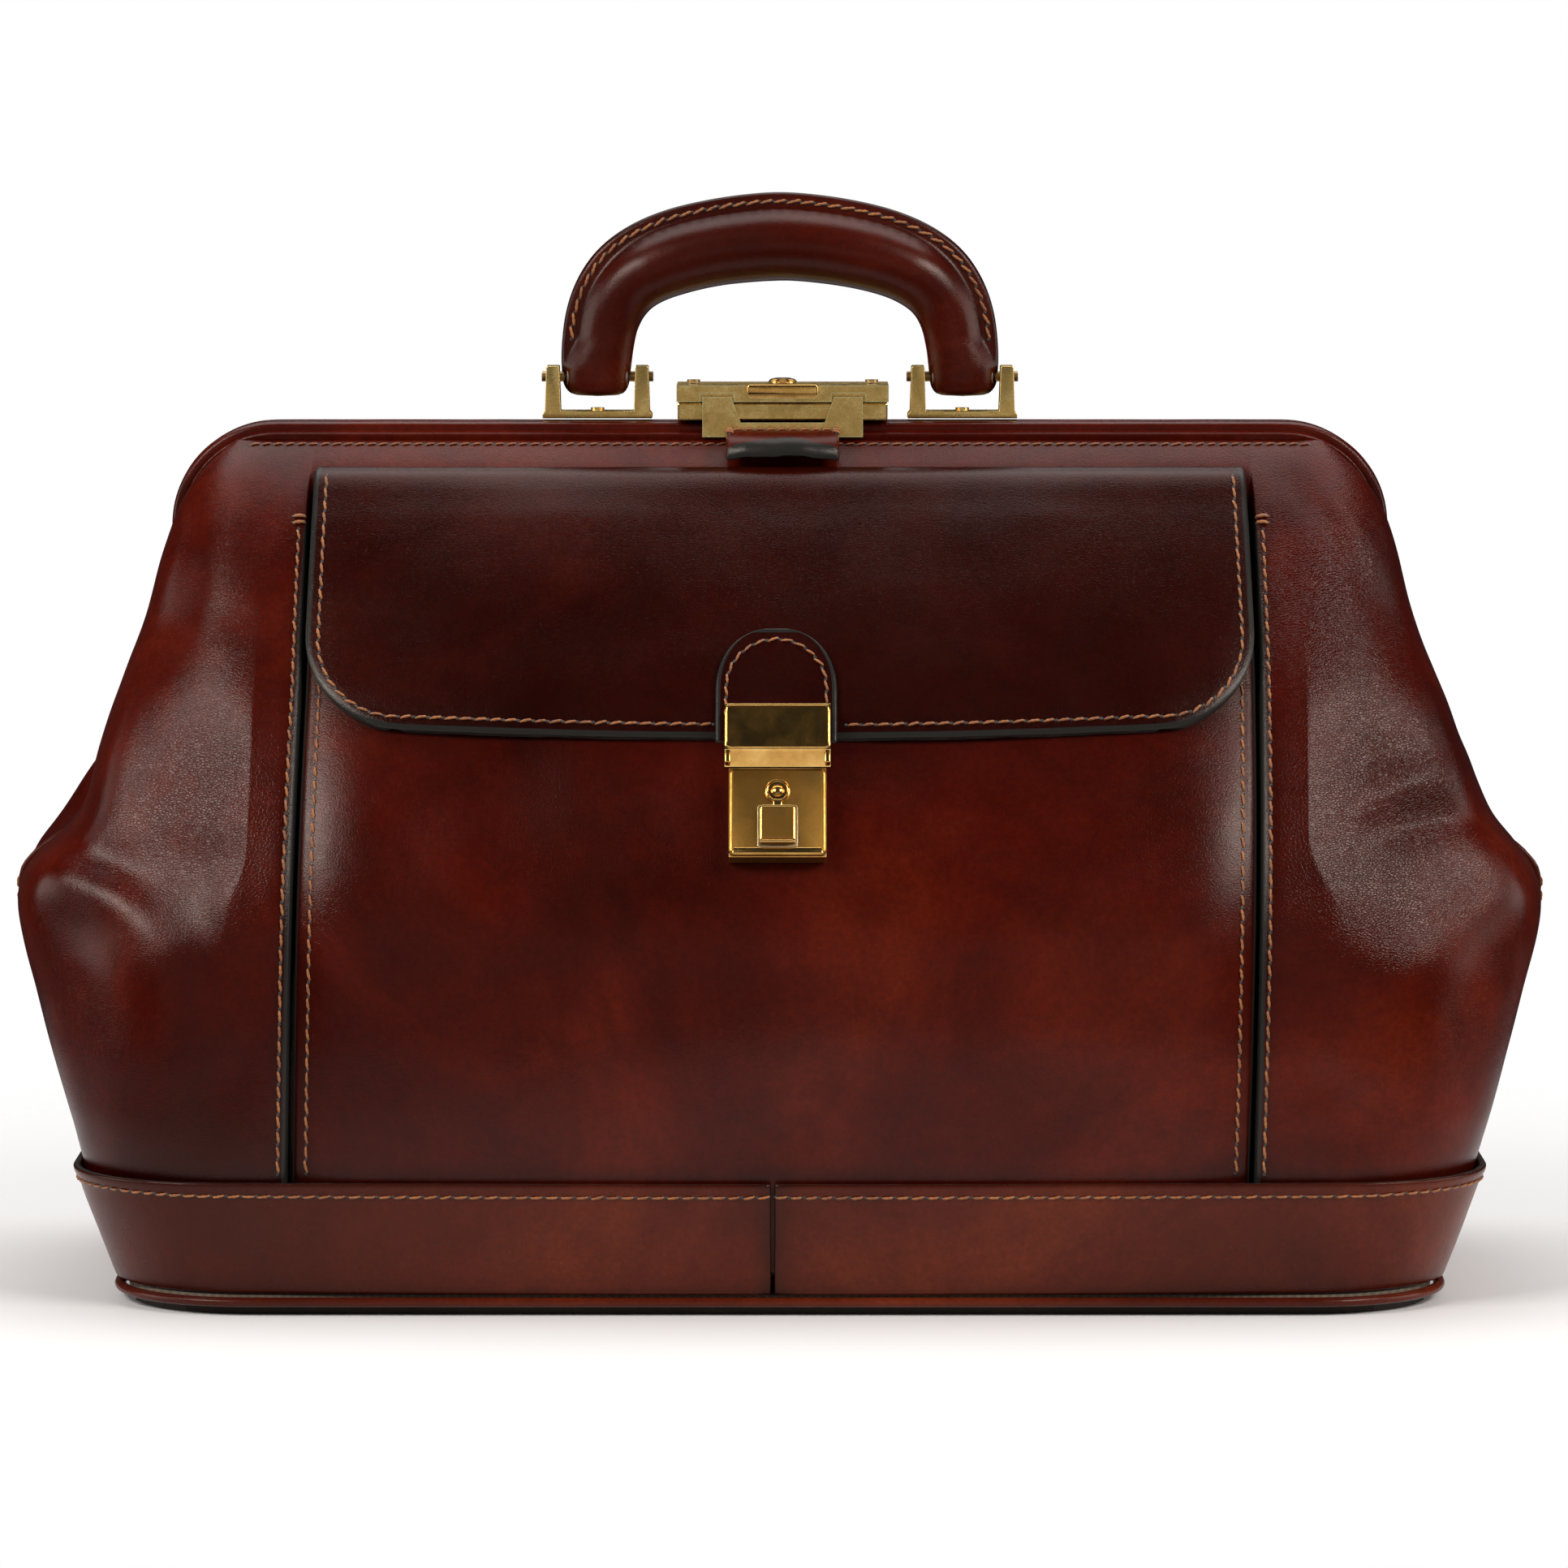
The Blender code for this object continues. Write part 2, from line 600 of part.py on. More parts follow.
def build_top_lock():
    box = block("lock_box", (LOCK_X - 30.5, -10.6, 249.9), (LOCK_X + 30.5, 13.0, 255.0), "antique")
    bevel(box, 0.5)
    plate = block("lock_top_plate", (LOCK_X - 30.8, -12.0, 255.3), (LOCK_X + 30.8, 14.0, 260.1), "antique")
    for k, sign in enumerate((-1, 1)):
        a, b = sorted((LOCK_X + sign * 14.2, LOCK_X + sign * 24.0))
        notch = block("cut_notch_%d" % k, (a, -13.0, 254.8), (b, -9.2, 257.9), "antique")
        boolean(plate, notch, "DIFFERENCE")
    slot = block("cut_thumb_slot", (LOCK_X - 3.4, -13.0, 256.9), (LOCK_X + 8.6, -8.4, 259.2), "antique")
    boolean(plate, slot, "DIFFERENCE")
    thumb = prism("lock_thumb_slide", [(x + LOCK_X, z + 258.05) for x, z in rounded(10.3, 1.55, 1.5, 4)],
                  -15.2, -12.3, "Y", "antique", 40)
    shank = block("join_thumb_shank", (LOCK_X - 2.9, -13.0, 257.2), (LOCK_X + 2.9, -9.0, 258.9), "antique")
    boolean(thumb, shank, "UNION")
    set_origin(thumb, (LOCK_X, -12.3, 258.05))

    rings = ((4.1, 260.4), (4.1, 261.0), (3.4, 261.6), (2.0, 261.9))
    verts = []
    for radius, z in rings:
        verts += [(x, y, z) for x, y in circle(radius, 24, LOCK_X, -1.0)]
    faces = [tuple(range(24)), tuple(range(95, 71, -1))]
    for k in range(3):
        for j in range(24):
            nxt = (j + 1) % 24
            faces.append((k * 24 + j, k * 24 + nxt, (k + 1) * 24 + nxt, (k + 1) * 24 + j))
    disc = make("lock_key_disc", verts, faces, "antique", 40)
    keyway = block("cut_disc_keyway", (LOCK_X - 1.6, -1.4, 261.2), (LOCK_X + 1.6, -0.6, 262.4), "antique")
    boolean(disc, keyway, "DIFFERENCE")
    set_origin(disc, (LOCK_X, -1.0, 260.4))
    for name, sign in (("lock_screw_left", -1), ("lock_screw_right", 1)):
        prism(name, circle(1.9, 16, LOCK_X + sign * 26.0, 3.0), 260.4, 261.2, "Z", "antique", 40)


def build_brackets():
    shape = [(-16.0, 249.9), (16.0, 249.9), (16.0, 251.0), (15.5, 251.0), (15.1, 263.6), (14.2, 265.2),
             (11.9, 265.2), (11.2, 264.2), (10.3, 253.0), (9.6, 251.8), (-9.6, 251.8), (-10.3, 253.0),
             (-11.2, 264.2), (-11.9, 265.2), (-14.2, 265.2), (-15.1, 263.6), (-15.5, 251.0), (-16.0, 251.0)]
    for side, sign in (("left", -1), ("right", 1)):
        outline = [(x + sign * HANDLE_X, z) for x, z in shape]
        bracket = prism("handle_bracket_" + side, outline, 0.9, 10.1, "Y", "antique")
        hole = pin_along_x("cut_bracket_hole_" + side, sign * HANDLE_X - 20, sign * HANDLE_X + 20,
                           PIN_RADIUS + 0.3, HANDLE_Y, HANDLE_PIN_Z)
        boolean(bracket, hole, "DIFFERENCE")
        pin_along_x("handle_pin_" + side, sign * HANDLE_X - 16.3, sign * HANDLE_X + 16.3, PIN_RADIUS,
                    HANDLE_Y, HANDLE_PIN_Z)
        prism("bracket_rivet_" + side, circle(2.0, 16, sign * HANDLE_X, HANDLE_Y), 252.1, 252.9, "Z",
              "antique", 40)


def handle_stations():
    """Centre, outward direction and widths along the handle, from the left end to the right end."""
    centre = [(-53.4, 255.8, 9.2), (-53.6, 259.0, 9.8), (-53.5, 265.5, 10.3), (-53.0, 272.0, 10.6),
              (-51.8, 279.0, 10.9), (-49.0, 285.6, 11.3), (-44.4, 291.2, 11.8), (-37.6, 295.6, 12.2),
              (-29.0, 298.8, 12.5), (-19.0, 301.0, 12.7), (-9.0, 302.3, 12.9), (0.0, 302.8, 13.0)]
    mirrored = [(-x, z, w) for x, z, w in reversed(centre[:-1])]
    return centre + mirrored


def build_handle():
    stations = handle_stations()
    count = len(stations)
    outer_size = 16
    verts = []
    frames = []
    for k, (x, z, half) in enumerate(stations):
        ahead = stations[min(k + 1, count - 1)]
        behind = stations[max(k - 1, 0)]
        run = Vector((ahead[0] - behind[0], 0, ahead[1] - behind[1])).normalized()
        out = Vector((-run.z, 0, run.x))
        if k in (0, count - 1):
            out = Vector((-1 if k == 0 else 1, 0, 0))
        deep = float(np.interp(abs(x), [0, 40, 53.6], [9.0, 8.6, 6.2]))
        frames.append((Vector((x, HANDLE_Y, z)), out))
        for j in range(outer_size):
            turn = 2 * math.pi * j / outer_size
            p = Vector((x, HANDLE_Y, z)) + out * (half * math.cos(turn))
            p.y += deep * math.sin(turn)
            verts.append(p)
    inner_start = len(verts)
    for point, out in frames:
        for a, y in ((2.9, 1.9), (-2.9, 1.9), (-2.9, -1.9), (2.9, -1.9)):
            verts.append(point + out * a + Vector((0, y, 0)))
    faces = []
    for k in range(count - 1):
        for j in range(outer_size):
            a = k * outer_size + j
            b = k * outer_size + (j + 1) % outer_size
            faces.append((a, b, b + outer_size, a + outer_size))
        for j in range(4):
            a = inner_start + k * 4 + j
            b = inner_start + k * 4 + (j + 1) % 4
            faces.append((a, b, b + 4, a + 4))
    for k in (0, count - 1):
        base = k * outer_size
        inner = inner_start + k * 4
        for quarter in range(4):
            arc = [base + (2 + quarter * 4 + j) % outer_size for j in range(5)]
            faces.append(tuple(arc + [inner + (quarter + 1) % 4, inner + quarter]))
    leather = make("handle_leather", verts, faces, "band", 50)
    for side, sign in (("left", -1), ("right", 1)):
        bore = pin_along_x("cut_loop_bore_" + side, sign * HANDLE_X - 14, sign * HANDLE_X + 14, 3.4,
                           HANDLE_Y, HANDLE_PIN_Z)
        boolean(leather, bore, "DIFFERENCE")
        loop = pin_along_x("handle_loop_" + side, sign * HANDLE_X - 8.8, sign * HANDLE_X + 8.8, 3.05,
                           HANDLE_Y, HANDLE_PIN_Z)
        eye = pin_along_x("cut_loop_eye_" + side, sign * HANDLE_X - 14, sign * HANDLE_X + 14,
                          PIN_RADIUS + 0.08, HANDLE_Y, HANDLE_PIN_Z)
        boolean(loop, eye, "DIFFERENCE")
        set_origin(loop, (0, HANDLE_Y, HANDLE_PIN_Z))
    set_origin(leather, (0, HANDLE_Y, HANDLE_PIN_Z))

    core_verts = []
    kept = [k for k in range(count) if stations[k][1] > HANDLE_PIN_Z + 3.45]
    for k in kept:
        point, out = frames[k]
        for a, y in ((2.5, 1.5), (-2.5, 1.5), (-2.5, -1.5), (2.5, -1.5)):
            core_verts.append(point + out * a + Vector((0, y, 0)))
    last = len(kept) - 1
    core_faces = [(0, 1, 2, 3), (last * 4 + 3, last * 4 + 2, last * 4 + 1, last * 4)]
    for k in range(last):
        for j in range(4):
            a = k * 4 + j
            b = k * 4 + (j + 1) % 4
            core_faces.append((a, b, b + 4, a + 4))
    core = make("handle_core", core_verts, core_faces, "steel")
    set_origin(core, (0, HANDLE_Y, HANDLE_PIN_Z))


build_base()
build_band("base_band_left", -1)
build_band("base_band_right", 1)
build_walls()
build_linings()
build_side_welts()
build_pocket()
build_flap()
build_clasp()
build_frames()
build_catch()
build_top_lock()
build_brackets()
build_handle()
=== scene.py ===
"""Leather doctor bag: the detailed visual model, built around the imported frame."""
import math

import bmesh
import bpy
import numpy as np
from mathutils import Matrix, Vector, noise
from mathutils.bvhtree import BVHTree


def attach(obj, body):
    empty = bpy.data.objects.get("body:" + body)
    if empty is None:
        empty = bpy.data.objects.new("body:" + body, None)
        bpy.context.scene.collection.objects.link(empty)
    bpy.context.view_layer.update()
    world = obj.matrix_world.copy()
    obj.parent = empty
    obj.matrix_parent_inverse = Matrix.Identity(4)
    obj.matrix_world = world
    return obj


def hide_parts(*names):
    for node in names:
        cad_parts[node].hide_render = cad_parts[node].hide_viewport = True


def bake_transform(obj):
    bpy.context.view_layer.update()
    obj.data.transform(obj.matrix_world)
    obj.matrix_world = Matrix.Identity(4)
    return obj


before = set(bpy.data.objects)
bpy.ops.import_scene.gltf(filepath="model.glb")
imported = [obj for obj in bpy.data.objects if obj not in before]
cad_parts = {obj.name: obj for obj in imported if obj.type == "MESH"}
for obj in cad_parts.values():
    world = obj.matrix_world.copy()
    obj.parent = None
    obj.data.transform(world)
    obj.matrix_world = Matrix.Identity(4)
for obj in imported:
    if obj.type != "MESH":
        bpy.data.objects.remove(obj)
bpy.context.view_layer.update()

MM = 0.001
rng = np.random.default_rng(7)

# Shape tables, in millimetres, as in the frame.
PROFILE_Z = [-15, 0, 38, 80, 105, 121, 140, 160, 180, 200, 220, 230, 238, 245, 260]
HALF_DEPTH = [84.8, 87.5, 94.3, 97.5, 97, 94, 87, 77, 65.5, 52.5, 37.5, 28.5, 19.5, 11.4, -6]
WIDTH_Z = [-15, 0, 38, 56, 73, 87, 104, 114, 121, 127, 135, 148, 161, 175, 195, 212, 220, 228, 236, 245, 260]
HALF_WIDTH = [181.7, 187, 200.5, 205.4, 210, 213.7, 218.2, 220.2, 219, 215, 208, 200.5, 195.3, 190.3,
              183.5, 179, 176.6, 173.5, 168, 157, 139]
FOLD_Z = [0, 116, 121, 127, 135, 148, 165, 174, 183, 245]
EDGE_Y = [12, 12, 12, 17, 22, 25, 25, 21, 17, 9.4]
FOLD_IN = [0, 0, 0.8, 4, 13, 29, 38, 26, 10, 0.2]
FOLD_Y = [0.6, 0.6, 0.6, 0.6, 0.6, 0.6, 0.8, 7.6, 9.3, 9.3]
CORNER_RADIUS = 42.0
LEATHER = 2.2
GAP = 0.35
HEM_Z = 244.8
PIVOT_Z = 175.0
FRAME_HALF = 175.0
FRAME_RADIUS = 28.0
BAR_MIDDLE = 247.3
BAND_TOP = 38.6
BAND_BOTTOM = 5.9
SEAM_X = 136.2
LOCK_X = 0.8
HANDLE_X = 53.3
HANDLE_Y = 5.5
POCKET_TOP = 222.0
FLAP_TOP = 237.6
FLAP_LOW = 163.2
FLAP_THICK = 2.6
FLAP_HALF = 135.7
FLAP_CORNER = 28.0
FLAP_RISE = 27.0
FLAP_BOW = 2.3
MOUTH = "mouth"
SIDES = (("left", -1), ("right", 1))


# ---------------------------------------------------------------- shape functions

def points(x, y, z):
    """Points from coordinates, each a number or an array."""
    return np.stack(np.broadcast_arrays(x, y, z), axis=-1).astype(float)


def table(z, zs, vs, reach=4.0):
    """Read a table with its corners rounded over a few millimetres."""
    return sum(np.interp(np.asarray(z) + d, zs, vs) for d in np.linspace(-reach, reach, 9)) / 9.0


def half_depth(z):
    return table(z, PROFILE_Z, HALF_DEPTH, 7.0)


def half_width(z):
    return table(z, WIDTH_Z, HALF_WIDTH, 3.0)


def fold_table(values, z):
    return table(z, FOLD_Z, values, 3.0)


def depth_at(x, z, inset=0.0):
    """Distance of a wall from the middle plane; it crowns a little towards the centre."""
    return half_depth(z) - inset - 5.0 * (x / 200.0) ** 2 * np.interp(z, [0, 200, 240], [1.0, 1.0, 0.0])


def pocket_inset(z):
    return table(z, [0, 195, 222, 234, 245], [10.0, 10.0, 7.6, 0.5, 0.0], 3.0)


def lean(z):
    return np.sqrt(1.0 + ((half_depth(z - 4.0) - half_depth(z + 4.0)) / 8.0) ** 2)


def seam_x(z, sign, front=True):
    """An upright seam. The pocket was sewn on slightly skewed."""
    if not front:
        return sign * SEAM_X
    return sign * np.interp(z, [38, 150, 222], [136.9, 136.7, SEAM_X]) + np.interp(z, [38, 178], [-2.6, 0.3])


def spline(controls, count):
    """Smooth curve through control points, evenly resampled."""
    pts = np.asarray(controls, float)
    ends = np.vstack([2 * pts[0] - pts[1], pts, 2 * pts[-1] - pts[-2]])
    fine = []
    for k in range(1, len(ends) - 2):
        a, b, c, d = ends[k - 1:k + 3]
        for t in np.linspace(0, 1, 12, endpoint=False):
            fine.append(0.5 * (2 * b + (c - a) * t + (2 * a - 5 * b + 4 * c - d) * t ** 2
                               + (3 * b - a - 3 * c + d) * t ** 3))
    return resample(fine + [pts[-1]], count)


def resample(path, count):
    path = np.asarray(path, float)
    run = np.concatenate([[0], np.cumsum(np.linalg.norm(np.diff(path, axis=0), axis=1))])
    at = np.linspace(0, run[-1], count)
    return np.stack([np.interp(at, run, column) for column in path.T], axis=1)


def ripple(p, size, seed):
    """Smooth repeatable noise at a millimetre point."""
    return noise.noise(Vector((p[0] / size + seed, p[1] / size - seed, p[2] / size + 2 * seed)))


def ripple_field(grid, size, seed):
    return np.array([[ripple(p, size, seed) for p in row] for row in grid])


def ripples(grid, normal, size, height, seed):
    return grid + normal * (ripple_field(grid, size, seed) * height)[..., None]


def crease(x, z, controls, width, depth):
    """Height change from a soft furrow or ridge that follows a line and fades at its ends."""
    pts = spline(controls, 24)
    dist = np.full(np.shape(x), 1e9)
    along = np.zeros(np.shape(x))
    for k, (px, pz) in enumerate(pts):
        d = (x - px) ** 2 + (z - pz) ** 2
        along = np.where(d < dist, k / (len(pts) - 1), along)
        dist = np.minimum(dist, d)
    return depth * np.exp(-dist / width ** 2) * np.sin(np.pi * np.clip(along, 0.06, 0.94)) ** 0.6


def bulge(x, z, cx, cz, rx, rz, height, turn=0.0):
    c, s = math.cos(turn), math.sin(turn)
    u = ((x - cx) * c + (z - cz) * s) / rx
    v = (-(x - cx) * s + (z - cz) * c) / rz
    return height * np.exp(-u ** 2 - v ** 2)


def peak(value, width):
    return np.exp(-(value / width) ** 2)


# ---------------------------------------------------------------- materials

class Look:
    """A Principled material. Its methods add a wired-up node and return the node's output."""

    def __init__(self, name, metallic=0.0):
        self.material = bpy.data.materials.new(name)
        self.material.use_nodes = True
        self.tree = self.material.node_tree
        self.shader = self.tree.nodes["Principled BSDF"]
        self.shader.inputs["Metallic"].default_value = metallic
        self.at = self.add("TexCoord", "Object")

    def put(self, socket, value):
        if isinstance(value, bpy.types.NodeSocket):
            self.tree.links.new(value, socket)
        else:
            socket.default_value = (*value, 1.0) if socket.type == "RGBA" else value

    def add(self, kind, output, sockets=None, **settings):
        made = self.tree.nodes.new("ShaderNode" + kind)
        for key, value in settings.items():
            setattr(made, key, value)
        for key, value in (sockets or {}).items():
            self.put(made.inputs[key], value)
        return made.outputs[output]

    def noise(self, scale, detail=4.0, rough=0.55, distortion=0.0):
        return self.add("TexNoise", "Fac", {"Vector": self.at, "Scale": scale, "Detail": detail,
                                            "Roughness": rough, "Distortion": distortion})

    def cells(self, scale, at):
        return self.add("TexVoronoi", "Distance", {"Vector": at, "Scale": scale}, feature="DISTANCE_TO_EDGE")

    def ramp(self, fac, *stops):
        colour = self.add("ValToRGB", "Color", {"Fac": fac})
        elements = colour.node.color_ramp.elements
        for k, (place_at, tint) in enumerate(stops):
            item = elements[k] if k < 2 else elements.new(place_at)
            item.position = place_at
            item.color = (*tint, 1.0)
        return colour

    def levels(self, value, lo, hi, out_lo, out_hi):
        return self.add("MapRange", "Result", {"Value": value, "From Min": lo, "From Max": hi,
                                               "To Min": out_lo, "To Max": out_hi})

    def mix(self, fac, a, b):
        # A colour mix has its factor at socket 0, its colours at 6 and 7 and its result at output 2.
        return self.add("Mix", 2, {0: fac, 6: a, 7: b}, data_type="RGBA")

    def times(self, a, b):
        return self.add("Math", 0, {0: a, 1: b}, operation="MULTIPLY")

    def painted(self, attribute):
        return self.add("Attribute", "Fac", attribute_name=attribute)

    def bump(self, height, strength, distance, below=None):
        sockets = {"Strength": strength, "Distance": distance, "Height": height}
        if below is not None:
            sockets["Normal"] = below
        return self.add("Bump", "Normal", sockets)

    def finish(self, **sockets):
        for key, value in sockets.items():
            self.put(self.shader.inputs[key.replace("_", " ")], value)
        return self.material


def scaled(colour, factor):
    return tuple(factor * c for c in colour)


def leather(name, dark, mid, warm, rough=(0.19, 0.28), coat=0.02, grain=0.13, crackle=0.45):
    """Glazed vegetable-tanned leather: mottled dye, pebble grain, fine crackle; painted shade makes it darker
    at seams and in folds, and a painted highlight lightens marked places.
    """
    look = Look(name)
    colour = look.ramp(look.noise(8.5, 7.0, 0.62, 0.8), (0.30, dark), (0.66, warm), (0.48, mid))
    colour = look.mix(look.levels(look.noise(38.0, 5.0, 0.65, 0.3), 0.42, 0.75, 0.0, 0.55), colour, dark)
    flecks = look.levels(look.noise(620.0, 3.0, 0.6), 0.35, 0.7, 0.30, 0.0)
    colour = look.mix(flecks, colour, scaled(dark, 0.45))
    # Points marked 'dark' get a darker colour. Mostly this is painted shade in folds, seam gaps, grooves and
    # recesses; on the handle's and the pull tab's edges it is their own dark edge dye, and some pieces are
    # also darker towards their edges.
    colour = look.mix(look.levels(look.painted("dark"), 0.0, 1.0, 0.0, 0.85), colour, scaled(dark, 0.3))
    # Painted highlight: points marked for it (the flap's top fold) get a lighter, warmer colour, broken up by
    # noise.
    highlight_breakup = look.levels(look.noise(160.0, 4.0, 0.7), 0.3, 0.65, 0.25, 1.0)
    colour = look.mix(look.times(look.painted("worn"), highlight_breakup), colour, scaled(warm, 1.7))
    colour = look.mix(look.levels(look.painted("rim"), 0.64, 0.70, 0.0, 1.0), colour, (0.017, 0.0165, 0.015))
    squeezed = look.add("Mapping", "Vector", {"Vector": look.at, "Scale": (1.0, 1.0, 1.7)})
    wrinkles = look.times(look.levels(look.cells(960.0, squeezed), 0.0, 0.2, -1.0, 0.0),
                          look.levels(look.painted("creased"), 0.0, 1.0, 0.22, 1.0))
    scales = look.levels(look.cells(560.0, look.at), 0.0, 0.12, 0.0, 1.0)
    pebbles = look.levels(look.cells(1250.0, squeezed), 0.0, 0.22, 0.0, 1.0)
    normal = look.bump(look.noise(90.0, 4.0, 0.6), 0.3, 0.0004)
    normal = look.bump(wrinkles, crackle, 0.00014, normal)
    normal = look.bump(scales, 0.5 * grain, 0.0001, normal)
    normal = look.bump(pebbles, grain, 0.00012, normal)
    normal = look.bump(look.noise(1500.0, 2.0, 0.5), 0.06, 0.00008, normal)
    gloss = look.levels(look.noise(26.0, 5.0, 0.6), 0.3, 0.72, *rough)
    return look.finish(Base_Color=colour, Roughness=gloss, Normal=normal, Coat_Weight=coat,
                       Coat_Roughness=0.16, Specular_IOR_Level=0.20, Specular_Tint=(1.0, 0.86, 0.79))


def edge_paint(name):
    look = Look(name)
    tone = look.noise(240.0, 4.0, 0.6)
    return look.finish(Base_Color=look.ramp(tone, (0.3, (0.012, 0.011, 0.010)),
                                            (0.75, (0.040, 0.037, 0.033))),
                       Roughness=look.levels(tone, 0.3, 0.7, 0.3, 0.55), Normal=look.bump(tone, 0.35, 0.0003))


def thread_material(name, dark, light):
    look = Look(name)
    tone = look.noise(190.0, 3.0, 0.6)
    strands = look.noise(2600.0, 2.0, 0.5)
    colour = look.mix(look.levels(strands, 0.35, 0.7, 0.45, 0.0), look.ramp(tone, (0.3, dark), (0.7, light)),
                      scaled(dark, 0.4))
    return look.finish(Base_Color=colour, Roughness=look.levels(tone, 0.3, 0.7, 0.5, 0.75),
                       Normal=look.bump(strands, 0.6, 0.0003), Sheen_Weight=0.2)


def metal(name, dark, mid, light, rough=(0.28, 0.5), pits=0.3):
    look = Look(name, metallic=1.0)
    clouds = look.noise(130.0, 6.0, 0.7, 0.4)
    specks = look.noise(1900.0, 3.0, 0.65)
    colour = look.mix(look.levels(specks, 0.48, 0.66, 0.0, pits),
                      look.ramp(clouds, (0.28, dark), (0.72, light), (0.5, mid)), scaled(dark, 0.5))
    # Painted highlight: edges get a brighter colour, standing in for the studio reflected in their rounded
    # bevels; a rounded normal differs from the true one only near them.
    soft = look.add("Bevel", "Normal", {"Radius": 0.0007}, samples=6)
    facing = look.add("VectorMath", "Value", {0: soft, 1: look.add("NewGeometry", "Normal")},
                      operation="DOT_PRODUCT")
    colour = look.mix(look.levels(facing, 0.80, 0.97, 0.9, 0.0), colour,
                      tuple(min(1.0, 1.35 * c + 0.12) for c in light))
    normal = look.bump(look.noise(420.0, 3.0, 0.6), 0.08, 0.0003)
    return look.finish(Base_Color=colour, Roughness=look.levels(clouds, 0.3, 0.7, rough[1], rough[0]),
                       Normal=look.bump(specks, pits * 0.5, 0.0002, normal))


def woven(name, dark, light, scale=900.0):
    look = Look(name)
    stripes = [look.add("TexWave", "Fac", {"Vector": look.at, "Scale": scale / 4.0, "Distortion": 0.6,
                                           "Detail": 1.0}, wave_type="BANDS", bands_direction=axis)
               for axis in ("X", "Z")]
    weave = look.add("Math", 0, {0: stripes[0], 1: stripes[1]}, operation="MAXIMUM")
    tone = look.noise(22.0, 5.0, 0.6)
    colour = look.mix(look.levels(weave, 0.2, 0.9, 0.5, 0.0), look.ramp(tone, (0.3, dark), (0.75, light)),
                      scaled(dark, 0.55))
    return look.finish(Base_Color=colour, Roughness=look.levels(tone, 0.3, 0.7, 0.75, 0.95),
                       Normal=look.bump(weave, 0.4, 0.0003), Sheen_Weight=0.15)


BODY = leather("leather_body", (0.0210, 0.0014, 0.0005), (0.055, 0.0032, 0.0009), (0.110, 0.0096, 0.0026))
# A darker copy of the body leather for the flap and its patch: painted shade, because the flap faces up and
# catches more of the lamps' light than it should.
SHADED_FLAP = leather("leather_flap_shaded", (0.0095, 0.0008, 0.0004), (0.0195, 0.0015, 0.0006), (0.038, 0.0036, 0.0013))
# Trim leather for the band, piping and welts. It is lighter partly in its own right and partly as painted
# light, lifted for the light that brightens the band low on the bag.
BAND = leather("leather_trim", (0.039, 0.0042, 0.0015), (0.076, 0.0090, 0.0030), (0.130, 0.0190, 0.0054),
               rough=(0.23, 0.33), grain=0.12, crackle=0.3)
GRIP = leather("leather_grip", (0.024, 0.0019, 0.0008), (0.052, 0.0044, 0.0014), (0.105, 0.0115, 0.0032),
               rough=(0.22, 0.32), grain=0.12, crackle=0.25)
SOLE = leather("leather_sole", (0.010, 0.007, 0.006), (0.018, 0.013, 0.011), (0.030, 0.022, 0.018),
               rough=(0.45, 0.65), coat=0.05, grain=0.10, crackle=0.5)
PAINT = edge_paint("painted_edge")
# Needle holes are small dark bodies: painted shade for the hollow of each hole.
HOLE_SHADE = edge_paint("needle_hole_shade")
THREAD = thread_material("thread_ochre", (0.20, 0.056, 0.010), (0.46, 0.165, 0.036))
THREAD_DARK = thread_material("thread_tan", (0.17, 0.048, 0.012), (0.36, 0.125, 0.034))
BRASS = metal("brass_antique", (0.58, 0.375, 0.105), (0.80, 0.545, 0.18), (0.98, 0.74, 0.31),
              rough=(0.22, 0.34), pits=0.25)
# Darker brass for the screws and handle pins; its plate under the clasp's slider is painted shade.
BRASS_DARK = metal("brass_pin", (0.12, 0.075, 0.03), (0.30, 0.2, 0.09), (0.5, 0.37, 0.19))
POLISHED = metal("gold_polished", (0.54, 0.28, 0.07), (0.68, 0.39, 0.11), (0.82, 0.52, 0.18),
                 rough=(0.12, 0.24), pits=0.08)
SATIN = metal("gold_satin", (0.28, 0.135, 0.024), (0.40, 0.205, 0.042), (0.54, 0.31, 0.08),
              rough=(0.26, 0.40), pits=0.12)
STEEL = metal("steel_frame", (0.16, 0.15, 0.14), (0.34, 0.33, 0.31), (0.5, 0.49, 0.46))
LINING = woven("lining_weave", (0.085, 0.050, 0.030), (0.17, 0.115, 0.075))
BOARD = woven("base_board_fibre", (0.10, 0.07, 0.045), (0.2, 0.15, 0.10), 500.0)


# ---------------------------------------------------------------- mesh helpers

def mesh_object(name, verts, faces, mats, smooth=True):
    mesh = bpy.data.meshes.new(name)
    mesh.from_pydata((np.asarray(verts, float) * MM).tolist(), [], faces)
    for mat in mats:
        mesh.materials.append(mat)
    obj = bpy.data.objects.new(name, mesh)
    bpy.context.scene.collection.objects.link(obj)
    if smooth:
        mesh.shade_smooth()
    return obj


def bake(obj):
    """Turn an object's modifiers into plain mesh."""
    bpy.context.view_layer.update()
    graph = bpy.context.evaluated_depsgraph_get()
    mesh = bpy.data.meshes.new_from_object(obj.evaluated_get(graph), preserve_all_data_layers=True,
                                           depsgraph=graph)
    old = obj.data
    obj.modifiers.clear()
    obj.data = mesh
    bpy.data.meshes.remove(old)
    mesh.name = obj.name
    return obj


